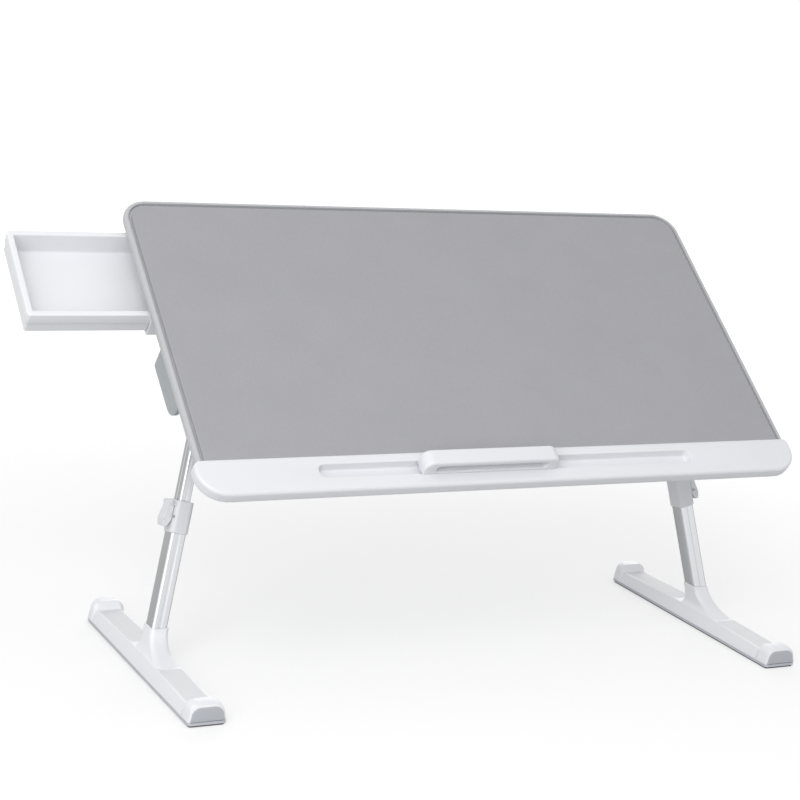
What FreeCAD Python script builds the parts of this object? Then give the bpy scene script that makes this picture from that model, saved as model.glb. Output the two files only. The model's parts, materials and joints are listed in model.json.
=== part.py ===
import FreeCAD, Part
import Sketcher
import math
import os

os.makedirs("parts", exist_ok=True)
document = FreeCAD.newDocument("laptop_stand")
sheet = document.addObject("Spreadsheet::Sheet", "sizes")
Vector = FreeCAD.Vector
X_AXIS, Y_AXIS = Vector(1, 0, 0), Vector(0, 1, 0)
nodes = {}
rows = []


class Size:
    """A length, angle or share of the stand, with the sheet formula that gives it."""

    def __init__(self, value, formula):
        self.value = float(value)
        self.formula = formula

    def __add__(self, other):
        return Size(self.value + number(other), f"({self.formula} + {formula(other)})")

    def __radd__(self, other):
        return Size(number(other) + self.value, f"({formula(other)} + {self.formula})")

    def __sub__(self, other):
        return Size(self.value - number(other), f"({self.formula} - {formula(other)})")

    def __rsub__(self, other):
        return Size(number(other) - self.value, f"({formula(other)} - {self.formula})")

    def __mul__(self, other):
        return Size(self.value * number(other), f"({self.formula} * {formula(other)})")

    __rmul__ = __mul__

    def __truediv__(self, other):
        return Size(self.value / number(other), f"({self.formula} / {formula(other)})")

    def __neg__(self):
        return Size(-self.value, f"(0 - {self.formula})")


def number(size):
    return size.value if isinstance(size, Size) else float(size)


def formula(size):
    return size.formula if isinstance(size, Size) else repr(size)


def size(name, value):
    """Writes a driving dimension into the sheet: its name in column A, its value in column B."""
    rows.append(name)
    row = len(rows)
    sheet.set(f"A{row}", name)
    sheet.set(f"B{row}", str(value))
    sheet.setAlias(f"B{row}", name)
    return Size(value, f"sizes.{name}")


# Desk, where the legs hold it
desk_width = size("desk_width", 600.0)
panel_depth = size("panel_depth", 296.0)
desk_thickness = size("desk_thickness", 12.0)
desk_corner = size("desk_corner", 25.0)
desk_tilt = size("desk_tilt", 38.5)
hinge_depth = size("hinge_depth", 128.0)
hinge_drop = size("hinge_drop", 54.1)

# Legs, which stand astride, splay outwards to their feet and lean back to the hinges
foot_inset = size("foot_inset", 6.0)
foot_length = size("foot_length", 280.0)
foot_width = size("foot_width", 34.5)
leg_splay = size("leg_splay", 12.3)
leg_lean = size("leg_lean", 10.0)
leg_reach = size("leg_reach", 226.6)
foot_datum = size("foot_datum", 20.0)
head_drop = size("head_drop", 14.0)

# Drawer, drawn out at the desk's left side
drawer_pull = size("drawer_pull", 106.0)

# Clearances shared by every moving pair
slide_gap = size("slide_gap", 0.3)
running_fit = size("running_fit", 0.05)
overrun = size("overrun", 4.0)

# Panel: a rigid core in a moulded rim, with a leather-look sheet let into its top
rim_width = size("rim_width", 9.0)
rim_land = size("rim_land", 4.0)
rim_round = size("rim_round", 3.0)
rim_under = size("rim_under", 7.5)
cover_thickness = size("cover_thickness", 1.4)
groove_width = size("groove_width", 3.0)
tongue_inset = size("tongue_inset", 40.0)
tongue_thickness = size("tongue_thickness", 4.0)
tongue_length = size("tongue_length", 10.0)
tongue_level = size("tongue_level", -7.0)
screw_radius = size("screw_radius", 1.75)
screw_grip = size("screw_grip", 7.0)

# Drawer and its housing, both measured from the ledge joint back and from the panel's top down
drawer_front = size("drawer_front", 170.0)
drawer_depth = size("drawer_depth", 98.5)
drawer_height = size("drawer_height", 23.5)
drawer_top = size("drawer_top", -14.0)
drawer_length = size("drawer_length", 296.0)
drawer_wall = size("drawer_wall", 4.0)
drawer_floor = size("drawer_floor", 2.0)
drawer_inset = size("drawer_inset", 1.0)
band_height = size("band_height", 11.0)
band_proud = size("band_proud", 1.5)
housing_wall = size("housing_wall", 2.0)
housing_flange = size("housing_flange", 10.0)
housing_inset = size("housing_inset", 6.0)
housing_round = size("housing_round", 3.0)

# Hinge bracket under the desk, written for the left side: x runs outwards as it falls
bracket_margin = size("bracket_margin", 3.0)
bracket_front = size("bracket_front", 42.0)
bracket_rear = size("bracket_rear", 29.4)
bracket_plate = size("bracket_plate", 3.0)
bracket_corner = size("bracket_corner", 4.0)
bracket_screw_edge = size("bracket_screw_edge", 6.5)
bracket_screw_in = size("bracket_screw_in", 43.0)
bracket_screw_out = size("bracket_screw_out", 20.0)

# Front ledge: a wide moulded bar with a shallow channel along it and a bead at the joint
ledge_overhang = size("ledge_overhang", 4.0)
ledge_depth = size("ledge_depth", 35.5)
ledge_rise = size("ledge_rise", 0.8)
ledge_corner = size("ledge_corner", 27.0)
ledge_end_round = size("ledge_end_round", 6.0)
ledge_round = size("ledge_round", 3.0)
bead_width = size("bead_width", 1.6)
bead_height = size("bead_height", 0.5)
channel_length = size("channel_length", 379.0)
channel_width = size("channel_width", 13.5)
channel_middle = size("channel_middle", -15.25)
channel_offset = size("channel_offset", -4.4)
channel_depth = size("channel_depth", 6.8)
channel_corner = size("channel_corner", 6.0)
channel_slope = size("channel_slope", 18.0)

# Stopper: a raised bar with a finger gap under it, on a tongue that slides along the channel
stopper_length = size("stopper_length", 136.0)
stopper_height = size("stopper_height", 15.6)
stopper_thickness = size("stopper_thickness", 16.0)
stopper_corner = size("stopper_corner", 9.0)
stopper_round = size("stopper_round", 2.5)
stopper_place = size("stopper_place", -31.3)
stopper_post = size("stopper_post", 12.0)
stopper_bar = size("stopper_bar", 4.8)
stopper_sill = size("stopper_sill", 1.6)
stopper_window_corner = size("stopper_window_corner", 3.5)

# Drawer: an open tray with a thicker band round its rim
tray_corner = size("tray_corner", 3.0)
tray_hollow_corner = size("tray_hollow_corner", 2.0)

# Fold hinge of the left leg: its pin lies along the desk's depth, level with the tilt pin
fold_arm = size("fold_arm", 33.0)
fold_pin_radius = size("fold_pin_radius", 3.0)
ear_radius = size("ear_radius", 10.0)
ear_thickness = size("ear_thickness", 6.0)
ear_side = size("ear_side", 0.2)
barrel_radius = size("barrel_radius", 9.5)
barrel_length = size("barrel_length", 42.0)
pin_head_radius = size("pin_head_radius", 5.0)
pin_head = size("pin_head", 2.0)

# Release paddle outside the hinge: a flat plate whose front end is rounded
paddle_thickness = size("paddle_thickness", 4.0)
paddle_inset = size("paddle_inset", 10.0)
paddle_setback = size("paddle_setback", 19.5)
paddle_front = size("paddle_front", 31.5)
paddle_rear = size("paddle_rear", 33.5)
paddle_bottom = size("paddle_bottom", -49.0)
paddle_nose = size("paddle_nose", 17.0)
paddle_corner = size("paddle_corner", 3.0)
paddle_pin_reach = size("paddle_pin_reach", 7.5)
paddle_pin_level = size("paddle_pin_level", -20.5)
paddle_pin_radius = size("paddle_pin_radius", 1.5)
paddle_barrel = size("paddle_barrel", 3.5)
paddle_grip = size("paddle_grip", 30.0)
lug_radius = size("lug_radius", 3.1)
lug_thickness = size("lug_thickness", 4.0)
lug_side = size("lug_side", 0.1)

# Knuckle: turns on the fold pin and holds the leg's head in a fork
head_thickness = size("head_thickness", 8.8)
washer_thickness = size("washer_thickness", 0.6)
washer_radius = size("washer_radius", 9.0)
cheek_thickness = size("cheek_thickness", 5.0)
cheek_radius = size("cheek_radius", 11.0)
cheek_side = size("cheek_side", 0.2)
arm_width = size("arm_width", 34.0)
arm_thickness = size("arm_thickness", 6.7)
arm_block = size("arm_block", 14.6)
arm_foot = size("arm_foot", 8.0)
arm_round = size("arm_round", 3.0)
tilt_pin_radius = size("tilt_pin_radius", 3.0)

# Tilt bolt, its lock nut and the two friction washers that hold the desk at its slope
nut_across = size("nut_across", 10.0)
nut_thickness = size("nut_thickness", 5.0)
bolt_head_radius = size("bolt_head_radius", 5.5)
bolt_head = size("bolt_head", 3.0)
bolt_end = size("bolt_end", 1.5)

# Leg head: an eye on the tilt bolt, a straight neck, and a plug that leans into the inner tube
head_radius = size("head_radius", 11.0)
neck_depth = size("neck_depth", 15.0)
shoulder_width = size("shoulder_width", 12.6)
shoulder_depth = size("shoulder_depth", 17.6)
shoulder_height = size("shoulder_height", 5.0)
inner_width = size("inner_width", 10.8)
inner_depth = size("inner_depth", 15.8)
inner_wall = size("inner_wall", 1.1)
inner_length = size("inner_length", 138.0)
inner_round = size("inner_round", 2.0)
plug_length = size("plug_length", 16.0)

# Both tubes have a shallow groove down their front and back faces
tube_groove = size("tube_groove", 4.5)
tube_groove_depth = size("tube_groove_depth", 0.3)
outer_width = size("outer_width", 14.2)
outer_depth = size("outer_depth", 19.2)
outer_wall = size("outer_wall", 1.3)
outer_round = size("outer_round", 2.5)
glide_height = size("glide_height", 5.0)
glide_plug = size("glide_plug", 8.0)

# Outer tube, from inside the collar down into the foot's socket
collar_start = size("collar_start", 94.5)
collar_height = size("collar_height", 29.5)
collar_shoulder = size("collar_shoulder", 7.0)
tube_seat = size("tube_seat", 2.5)

# Clamp collar: grips the outer tube's end, guides the inner tube and carries the cam lever
collar_width = size("collar_width", 17.2)
collar_depth = size("collar_depth", 22.2)
collar_round = size("collar_round", 4.5)
collar_edge = size("collar_edge", 1.1)
slit_width = size("slit_width", 1.5)
slit_length = size("slit_length", 18.0)
lever_width = size("lever_width", 15.0)
lever_barrel = size("lever_barrel", 2.3)
lever_pin_radius = size("lever_pin_radius", 1.0)
lever_lug = size("lever_lug", 2.2)
lever_drop = size("lever_drop", 3.0)
lever_belly = size("lever_belly", 8.3)
lever_belly_drop = size("lever_belly_drop", 16.0)
lever_length = size("lever_length", 22.0)
lever_tip = size("lever_tip", 3.0)
lever_round = size("lever_round", 4.0)
tip_width = size("tip_width", 3.4)

# Foot: a long rounded bar with raised ends, a hollowed top each side of the neck, and a socket
sole_thickness = size("sole_thickness", 1.5)
sole_inset = size("sole_inset", 1.2)
base_thickness = size("base_thickness", 2.5)
foot_height = size("foot_height", 21.5)
foot_top_width = size("foot_top_width", 15.0)
foot_top_round = size("foot_top_round", 4.0)
foot_side = size("foot_side", 1.0)
foot_front_corner = size("foot_front_corner", 4.0)
foot_back_corner = size("foot_back_corner", 13.0)
front_face = size("front_face", 14.0)
front_slope = size("front_slope", 6.5)
panel_level = size("panel_level", 14.0)
panel_climb = size("panel_climb", 2.5)
panel_round = size("panel_round", 4.0)
lip_length = size("lip_length", 20.0)
neck_front = size("neck_front", 42.0)
neck_back = size("neck_back", 21.0)

# The neck flares from the tube's socket into the bar, and leans with the leg
socket_height = size("socket_height", 39.0)
socket_width = size("socket_width", 17.4)
socket_depth = size("socket_depth", 22.4)
socket_round = size("socket_round", 4.0)
cap_width = size("cap_width", 30.5)
cap_edge = size("cap_edge", 1.2)
cap_side = size("cap_side", 3.0)
cap_top = size("cap_top", 22.0)
cap_thickness = size("cap_thickness", 1.2)
cap_round = size("cap_round", 5.0)

# Fixing screws: pan heads against the bracket plates and the housing's flanges
screw_head_radius = size("screw_head_radius", 3.6)
screw_head = size("screw_head", 1.8)


def sine(angle):
    return Size(math.sin(math.radians(angle.value)), f"sin({angle.formula} * 1 deg)")


def cosine(angle):
    return Size(math.cos(math.radians(angle.value)), f"cos({angle.formula} * 1 deg)")


def bind(item, path, value):
    item.setExpression(path, formula(value))


def new_body(name, place=None):
    """Starts a sub-part. Its label is the node's name, and place is where it stands on the desk."""
    body = document.addObject("PartDesign::Body", name)
    body.Label = name
    if place is not None:
        body.Placement = place
    nodes[name] = body
    return body


def sketch_on(body, plane, level=0, shift=None, turn=None):
    """A sketch on a body's XY, XZ or YZ plane, level along the axis that the plane leaves out.

    In an XY sketch shift moves its origin, and turn leans it there.
    """
    sketch = body.newObject("Sketcher::SketchObject", body.Name + "_sketch")
    role = plane + "_Plane"
    origin_plane = [item for item in body.Origin.OriginFeatures if item.Role == role][0]
    sketch.AttachmentSupport = [(origin_plane, "")]
    sketch.MapMode = "FlatFace"
    along = -level if plane == "XZ" else level
    base = Vector(0, 0, number(along))
    if shift is not None:
        base = Vector(number(shift[0]), number(shift[1]), number(along))
    sketch.AttachmentOffset = FreeCAD.Placement(base, turn or FreeCAD.Rotation())
    bind(sketch, "AttachmentOffset.Base.z", along)
    if shift is not None:
        bind(sketch, "AttachmentOffset.Base.x", shift[0])
        bind(sketch, "AttachmentOffset.Base.y", shift[1])
    return sketch


def fix_point(sketch, geometry, place, x, y):
    """Holds a point of a sketch at x and y from its origin."""
    for kind, value in (("DistanceX", x), ("DistanceY", y)):
        index = sketch.addConstraint(
            Sketcher.Constraint(kind, -1, 1, geometry, place, number(value))
        )
        bind(sketch, f"Constraints[{index}]", value)


def loop(sketch, corners):
    """Closes an outline through corners (x, y) or (x, y, radius), each bound to its sizes."""
    corners = [corner if len(corner) == 3 else (*corner, 0) for corner in corners]
    count = len(corners)
    points = [Vector(number(x), number(y), 0) for x, y, _ in corners]
    arrive, leave, arcs = [], [], []
    for i, here in enumerate(points):
        back = (points[i - 1] - here).normalize()
        ahead = (points[(i + 1) % count] - here).normalize()
        radius = number(corners[i][2])
        if not radius:
            arrive.append(here)
            leave.append(here)
            arcs.append(None)
            continue
        half = back.getAngle(ahead) / 2
        reach = radius / math.tan(half)
        middle = here + (back + ahead).normalize() * (radius / math.sin(half) - radius)
        arrive.append(here + back * reach)
        leave.append(here + ahead * reach)
        left_turn = ahead.cross(back).z > 0
        ends = (arrive[i], leave[i]) if left_turn else (leave[i], arrive[i])
        arcs.append((Part.Arc(ends[0], middle, ends[1]), left_turn))
    lines = []
    for i in range(count):
        lines.append(sketch.addGeometry(Part.LineSegment(leave[i], arrive[(i + 1) % count])))
    for i, arc in enumerate(arcs):
        x, y, radius = corners[i]
        before, after = lines[i - 1], lines[i]
        if arc is None:
            sketch.addConstraint(Sketcher.Constraint("Coincident", before, 2, after, 1))
            fix_point(sketch, after, 1, x, y)
            continue
        bend = sketch.addGeometry(arc[0])
        first, last = (1, 2) if arc[1] else (2, 1)
        corner = sketch.addGeometry(Part.Point(points[i]), True)
        sketch.addConstraint(
            [
                Sketcher.Constraint("Tangent", before, 2, bend, first),
                Sketcher.Constraint("Tangent", bend, last, after, 1),
                Sketcher.Constraint("PointOnObject", corner, 1, before),
                Sketcher.Constraint("PointOnObject", corner, 1, after),
            ]
        )
        index = sketch.addConstraint(Sketcher.Constraint("Radius", bend, number(radius)))
        bind(sketch, f"Constraints[{index}]", radius)
        fix_point(sketch, corner, 1, x, y)


def rectangle(sketch, x0, x1, y0, y1, radius=0):
    loop(sketch, [(x0, y0, radius), (x1, y0, radius), (x1, y1, radius), (x0, y1, radius)])


def block(sketch, x, y, width, depth, radius=0):
    """A rectangle about its middle (x, y)."""
    rectangle(sketch, x - width / 2, x + width / 2, y - depth / 2, y + depth / 2, radius)


def circle(sketch, x, y, radius):
    centre = Vector(number(x), number(y), 0)
    index = sketch.addGeometry(Part.Circle(centre, Vector(0, 0, 1), number(radius)))
    constraint = sketch.addConstraint(Sketcher.Constraint("Radius", index, number(radius)))
    bind(sketch, f"Constraints[{constraint}]", radius)
    fix_point(sketch, index, 3, x, y)


def extrude(kind, body, sketch, length, way, taper=None):
    """Pads or pockets a sketch: way is +1 or -1 along the plane's own axis, or 0 for both ways."""
    feature = body.newObject("PartDesign::" + kind, body.Name + "_" + kind.lower())
    feature.Profile = sketch
    plane_is_xz = "XZ" in sketch.AttachmentSupport[0][0].Role
    normal = -1 if plane_is_xz else 1
    drive = normal if kind == "Pad" else -normal
    if way == 0:
        feature.SideType = "Symmetric"
    else:
        feature.Reversed = way != drive
    bind(feature, "Length", length)
    if taper is not None:
        bind(feature, "TaperAngle", taper)
    document.recompute()
    return feature


def pad(body, sketch, length, way=1, taper=None):
    return extrude("Pad", body, sketch, length, way, taper)


def pocket(body, sketch, length, way=-1, taper=None):
    """Cuts a sketch out of the body, and makes sure that it met material."""
    before = body.Shape.Volume
    feature = extrude("Pocket", body, sketch, length, way, taper)
    if body.Shape.Volume > before * (1 - 1e-9):
        raise RuntimeError(f"{feature.Name} cuts nothing")
    return feature


def round_edges(body, radius, chosen):
    """Fillets the edges for which chosen(edge) holds. Edges are told apart by where they lie."""
    solid = body.Tip
    names = [f"Edge{i + 1}" for i, edge in enumerate(solid.Shape.Edges) if chosen(edge)]
    if not names:
        raise RuntimeError(f"{body.Name} has no such edge")
    feature = body.newObject("PartDesign::Fillet", body.Name + "_fillet")
    feature.Base = (solid, names)
    bind(feature, "Radius", radius)
    document.recompute()
    return feature


def edge_at(edge, axis, value, spread=1e-4):
    """True for an edge that lies wholly at one value of x, y or z."""
    box = edge.BoundBox
    low, high = {"x": (box.XMin, box.XMax), "y": (box.YMin, box.YMax), "z": (box.ZMin, box.ZMax)}[axis]
    return abs(low - number(value)) < spread and abs(high - number(value)) < spread


def middle(edge):
    return edge.valueAt((edge.FirstParameter + edge.LastParameter) / 2)


# The leg rises from its foot's middle to the tilt bolt, which is where the desk hangs on it
desk_underside = -desk_thickness
foot_spread = desk_width / 2 - foot_inset
leg_rise = leg_reach * cosine(leg_splay) + head_drop
tilt_pin_x = foot_spread - leg_reach * sine(leg_splay)
tilt_pin_y = leg_rise * sine(leg_lean)
tilt_pin_z = foot_datum + leg_rise * cosine(leg_lean)
desk_y = tilt_pin_y - (hinge_depth * cosine(desk_tilt) + hinge_drop * sine(desk_tilt))
desk_z = tilt_pin_z - (hinge_depth * sine(desk_tilt) - hinge_drop * cosine(desk_tilt))

# The origin is on the floor, midway between the drawer's end and the right foot's outer side, and midway
# between the feet's front ends and the panel's back edge
middle_x = (desk_width / 2 + drawer_pull - foot_spread - foot_width / 2) / 2
back_run = (panel_depth - rim_under) * cosine(desk_tilt) + (desk_thickness - rim_under) * sine(desk_tilt)
middle_y = (foot_length / 2 - desk_y - back_run - rim_under) / 2
splayed = FreeCAD.Rotation(Y_AXIS, number(leg_splay))
leant = FreeCAD.Rotation(X_AXIS, -number(leg_lean))


def placed(x, y, z, turn_axis=None, angle=0):
    turn = FreeCAD.Rotation()
    if turn_axis is not None:
        turn = FreeCAD.Rotation(turn_axis, number(angle))
    return FreeCAD.Placement(Vector(number(x), number(y), number(z)), turn)


on_desk = placed(middle_x, middle_y + desk_y, desk_z, X_AXIS, desk_tilt)
on_head = placed(middle_x - tilt_pin_x, middle_y + tilt_pin_y, tilt_pin_z, X_AXIS, -leg_lean)
on_leg = on_head * placed(0, 0, -head_drop, Y_AXIS, leg_splay)
on_foot = placed(middle_x - foot_spread, middle_y, 0)

# Panel: a rigid core in a moulded rim, with a leather-look sheet let into its top
core_half = desk_width / 2 - rim_width
core_depth = panel_depth - rim_width

# Drawer and its housing, both measured from the ledge joint back and from the panel's top down
drawer_back = drawer_front + drawer_depth
drawer_bottom = drawer_top - drawer_height
housing_left = -(desk_width / 2) + housing_inset
housing_right = -(desk_width / 2) + drawer_inset + drawer_length + slide_gap + housing_wall
housing_floor = drawer_bottom - slide_gap
housing_front = drawer_front - slide_gap
housing_back = drawer_back + slide_gap
flange_middle = housing_wall + housing_flange / 2
housing_screw_share = 0.42
housing_screws = [
    ((housing_left + housing_right) / 2 + (housing_right - housing_left) * along, line)
    for along in (-housing_screw_share, 0, housing_screw_share)
    for line in (housing_front - flange_middle, housing_back + flange_middle)
]

# Release paddle outside the hinge: a flat plate whose front end is rounded
paddle_face = desk_width / 2 - paddle_inset
paddle_pin_x = paddle_pin_reach - paddle_face
paddle_depth = hinge_depth - paddle_setback
lug_place = paddle_grip / 2 + slide_gap + lug_thickness / 2

# Hinge bracket under the desk, written for the left side: x runs outwards as it falls
fold_x = fold_arm - tilt_pin_x
hinge_level = -hinge_drop
ear_place = barrel_length / 2 + slide_gap + ear_thickness / 2
ear_round = ear_radius - ear_side
bracket_outside = paddle_pin_x - lug_radius - bracket_margin
bracket_inside = fold_x + ear_radius + bracket_margin
bracket_start = hinge_depth - bracket_front
bracket_end = hinge_depth + bracket_rear
bracket_underside = desk_underside - bracket_plate
bracket_screws = [
    (out, along)
    for out in (bracket_inside - bracket_screw_in, bracket_outside + bracket_screw_out)
    for along in (bracket_start + bracket_screw_edge, bracket_end - bracket_screw_edge)
]


def panel_outline(sketch, inset, front):
    """The panel's outline drawn in by an inset on three sides, from a front line."""
    half = desk_width / 2 - inset
    back = panel_depth - inset
    corner = desk_corner - inset
    loop(sketch, [(-half, front), (half, front), (half, back, corner), (-half, back, corner)])


# The core takes the ledge's tongue in its front edge and the fixing screws in its underside
core = new_body("board_core", on_desk)
core_sketch = sketch_on(core, "XY", desk_underside)
panel_outline(core_sketch, rim_width, 0)
pad(core, core_sketch, desk_thickness - cover_thickness)
core_slot = sketch_on(core, "XZ")
tongue_width = desk_width - tongue_inset * 2
block(core_slot, 0, tongue_level, tongue_width, tongue_thickness)
pocket(core, core_slot, tongue_length, 1)
core_holes = sketch_on(core, "XY", desk_underside)
for x, y in housing_screws:
    circle(core_holes, x, y, screw_radius)
for x, y in bracket_screws:
    circle(core_holes, x, y, screw_radius)
    circle(core_holes, -x, y, screw_radius)
pocket(core, core_holes, screw_grip, 1)

# The sheet stops short of the rim, which leaves the fine groove around it
cover = new_body("panel_cover", on_desk)
cover_sketch = sketch_on(cover, "XY", -cover_thickness)
panel_outline(cover_sketch, rim_land + groove_width, 0)
pad(cover, cover_sketch, cover_thickness)

# The rim runs along both sides and the back. Its outside is rounded over, more so below, and a step inside
# its land takes the sheet's edge.
rim = new_body("edge_rim", on_desk)
rim_sketch = sketch_on(rim, "XY", desk_underside)
rim_half = desk_width / 2
rim_corner = desk_corner - rim_width
loop(
    rim_sketch,
    [
        (-rim_half, 0),
        (-core_half, 0),
        (-core_half, core_depth, rim_corner),
        (core_half, core_depth, rim_corner),
        (core_half, 0),
        (rim_half, 0),
        (rim_half, panel_depth, desk_corner),
        (-rim_half, panel_depth, desk_corner),
    ],
)
pad(rim, rim_sketch, desk_thickness)


def outside_of_rim(edge, level):
    """True for the outer edges of the rim's top or underside, which lie beyond the middle of its width."""
    place = middle(edge)
    inner_corner_x = core_half - rim_corner
    inner_corner_y = core_depth - rim_corner
    past_x = max(abs(place.x) - number(inner_corner_x), 0)
    past_y = max(place.y - number(inner_corner_y), 0)
    beyond = math.hypot(past_x, past_y) > number(rim_corner + rim_width / 2)
    return beyond and edge_at(edge, "z", level) and place.y > number(rim_width)


round_edges(rim, rim_round, lambda edge: outside_of_rim(edge, 0))
round_edges(rim, rim_under, lambda edge: outside_of_rim(edge, desk_underside))
rim_step = sketch_on(rim, "XY")
panel_outline(rim_step, rim_land, -overrun)
pocket(rim, rim_step, cover_thickness)

# Front ledge: a wide moulded bar with a shallow channel along it and a bead at the joint
ledge_width = desk_width + ledge_overhang * 2
ledge = new_body("front_ledge", on_desk)
ledge_sketch = sketch_on(ledge, "XY", desk_underside)
loop(
    ledge_sketch,
    [
        (-ledge_width / 2, -ledge_depth, ledge_corner),
        (ledge_width / 2, -ledge_depth, ledge_corner),
        (ledge_width / 2, 0, ledge_end_round),
        (-ledge_width / 2, 0, ledge_end_round),
    ],
)
pad(ledge, ledge_sketch, desk_thickness + ledge_rise)


def outside_of_ledge(edge):
    flat = edge_at(edge, "z", ledge_rise) or edge_at(edge, "z", desk_underside)
    return flat and middle(edge).y < -number(ledge_end_round) / 8


round_edges(ledge, ledge_round, outside_of_ledge)
ledge_tongue = sketch_on(ledge, "XZ")
block(ledge_tongue, 0, tongue_level, tongue_width, tongue_thickness)
pad(ledge, ledge_tongue, tongue_length, 1)
bead_sketch = sketch_on(ledge, "XY", ledge_rise)
rectangle(bead_sketch, -core_half, core_half, -bead_width, 0)
pad(ledge, bead_sketch, bead_height)
channel_sketch = sketch_on(ledge, "XY", ledge_rise)
block(channel_sketch, channel_offset, channel_middle, channel_length, channel_width, channel_corner)
pocket(ledge, channel_sketch, channel_depth, -1, -channel_slope)

# Stopper: a raised bar with a finger gap under it, on a tongue that slides along the channel
stopper_foot = ledge_rise + slide_gap
stopper = new_body("laptop_stopper", on_desk)
stopper_sketch = sketch_on(stopper, "XZ", channel_middle)
stopper_half = stopper_length / 2
loop(
    stopper_sketch,
    [
        (stopper_place - stopper_half, stopper_foot),
        (stopper_place + stopper_half, stopper_foot),
        (stopper_place + stopper_half, stopper_height, stopper_corner),
        (stopper_place - stopper_half, stopper_height, stopper_corner),
    ],
)
pad(stopper, stopper_sketch, stopper_thickness, 0)
window_sketch = sketch_on(stopper, "XZ", channel_middle)
rectangle(
    window_sketch,
    stopper_place - stopper_half + stopper_post,
    stopper_place + stopper_half - stopper_post,
    stopper_foot + stopper_sill,
    stopper_height - stopper_bar,
    stopper_window_corner,
)
pocket(stopper, window_sketch, stopper_thickness + overrun, 0)


def over_the_stopper(edge):
    """True for the outer edges of the front and back faces, above the foot and outside the window."""
    place = middle(edge)
    on_face = abs(place.y - number(channel_middle)) > number(stopper_thickness) / 3
    high = place.z > number(stopper_height - stopper_bar / 2)
    at_end = abs(place.x - number(stopper_place)) > number(stopper_half - stopper_post / 2)
    return on_face and (high or (at_end and place.z > number(stopper_foot + slide_gap)))


round_edges(stopper, stopper_round, over_the_stopper)
stopper_tongue = sketch_on(stopper, "XY", stopper_foot)
block(
    stopper_tongue,
    stopper_place,
    channel_middle,
    stopper_length,
    channel_width - slide_gap * 4,
    channel_corner - slide_gap * 2,
)
pad(stopper, stopper_tongue, channel_depth - slide_gap * 2, -1, -channel_slope)

# Drawer housing: a tray-shaped channel screwed up under the desk, open at the left
housing = new_body("drawer_housing", on_desk)
housing_sketch = sketch_on(housing, "YZ", housing_left)
flange_under = desk_underside - housing_wall
loop(
    housing_sketch,
    [
        (housing_front - housing_wall - housing_flange, flange_under),
        (housing_front - housing_wall, flange_under),
        (housing_front - housing_wall, housing_floor - housing_wall, housing_round),
        (housing_back + housing_wall, housing_floor - housing_wall, housing_round),
        (housing_back + housing_wall, flange_under),
        (housing_back + housing_wall + housing_flange, flange_under),
        (housing_back + housing_wall + housing_flange, desk_underside),
        (housing_back, desk_underside),
        (housing_back, housing_floor),
        (housing_front, housing_floor),
        (housing_front, desk_underside),
        (housing_front - housing_wall - housing_flange, desk_underside),
    ],
)
pad(housing, housing_sketch, housing_right - housing_left)
housing_end = sketch_on(housing, "YZ", housing_right - housing_wall)
rectangle(housing_end, housing_front, housing_back, housing_floor, desk_underside)
pad(housing, housing_end, housing_wall)
housing_holes = sketch_on(housing, "XY", desk_underside)
for x, y in housing_screws:
    circle(housing_holes, x, y, screw_radius)
pocket(housing, housing_holes, housing_wall + overrun)

# Drawer: an open tray with a thicker band round its rim
drawer_left = -(desk_width / 2) - drawer_pull
drawer_right = drawer_left + drawer_length
drawer = new_body("drawer_tray", on_desk)
tray_sketch = sketch_on(drawer, "XY", drawer_bottom)
rectangle(
    tray_sketch,
    drawer_left + band_proud,
    drawer_right,
    drawer_front + band_proud,
    drawer_back - band_proud,
    tray_corner,
)
pad(drawer, tray_sketch, drawer_height)
band_sketch = sketch_on(drawer, "XY", drawer_top)
rectangle(band_sketch, drawer_left, drawer_right, drawer_front, drawer_back, tray_corner)
pad(drawer, band_sketch, band_height, -1)
hollow_sketch = sketch_on(drawer, "XY", drawer_top)
tray_wall = drawer_wall + band_proud
rectangle(
    hollow_sketch,
    drawer_left + tray_wall,
    drawer_right - drawer_wall,
    drawer_front + tray_wall,
    drawer_back - tray_wall,
    tray_hollow_corner,
)
pocket(drawer, hollow_sketch, drawer_height - drawer_floor)

# Fold hinge of the left leg: its pin lies along the desk's depth, level with the tilt pin
def hanging_ear(body, x, level, radius, rounding, at, thickness):
    """A plate that hangs from the bracket and ends round about a pin at x and level."""
    ear = sketch_on(body, "XZ", at)
    loop(
        ear,
        [
            (x - radius, level - radius, rounding),
            (x + radius, level - radius, rounding),
            (x + radius, bracket_underside),
            (x - radius, bracket_underside),
        ],
    )
    pad(body, ear, thickness, 0)


bracket = new_body("hinge_bracket_left", on_desk)
plate_sketch = sketch_on(bracket, "XY", desk_underside)
rectangle(
    plate_sketch,
    bracket_outside,
    bracket_inside,
    bracket_start,
    bracket_end,
    bracket_corner,
)
pad(bracket, plate_sketch, bracket_plate, -1)
for side in (-1, 1):
    at = hinge_depth + side * ear_place
    hanging_ear(bracket, fold_x, hinge_level, ear_radius, ear_round, at, ear_thickness)
    at = paddle_depth + side * lug_place
    lug_round = lug_radius - lug_side
    hanging_ear(bracket, paddle_pin_x, paddle_pin_level, lug_radius, lug_round, at, lug_thickness)
bracket_bores = sketch_on(bracket, "XZ", hinge_depth)
circle(bracket_bores, fold_x, hinge_level, fold_pin_radius)
circle(bracket_bores, paddle_pin_x, paddle_pin_level, paddle_pin_radius)
pocket(bracket, bracket_bores, (bracket_front + overrun) * 2, 0)
bracket_holes = sketch_on(bracket, "XY", desk_underside)
for x, y in bracket_screws:
    circle(bracket_holes, x, y, screw_radius)
pocket(bracket, bracket_holes, bracket_plate + overrun)


rivet_head_share = 1.6


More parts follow.
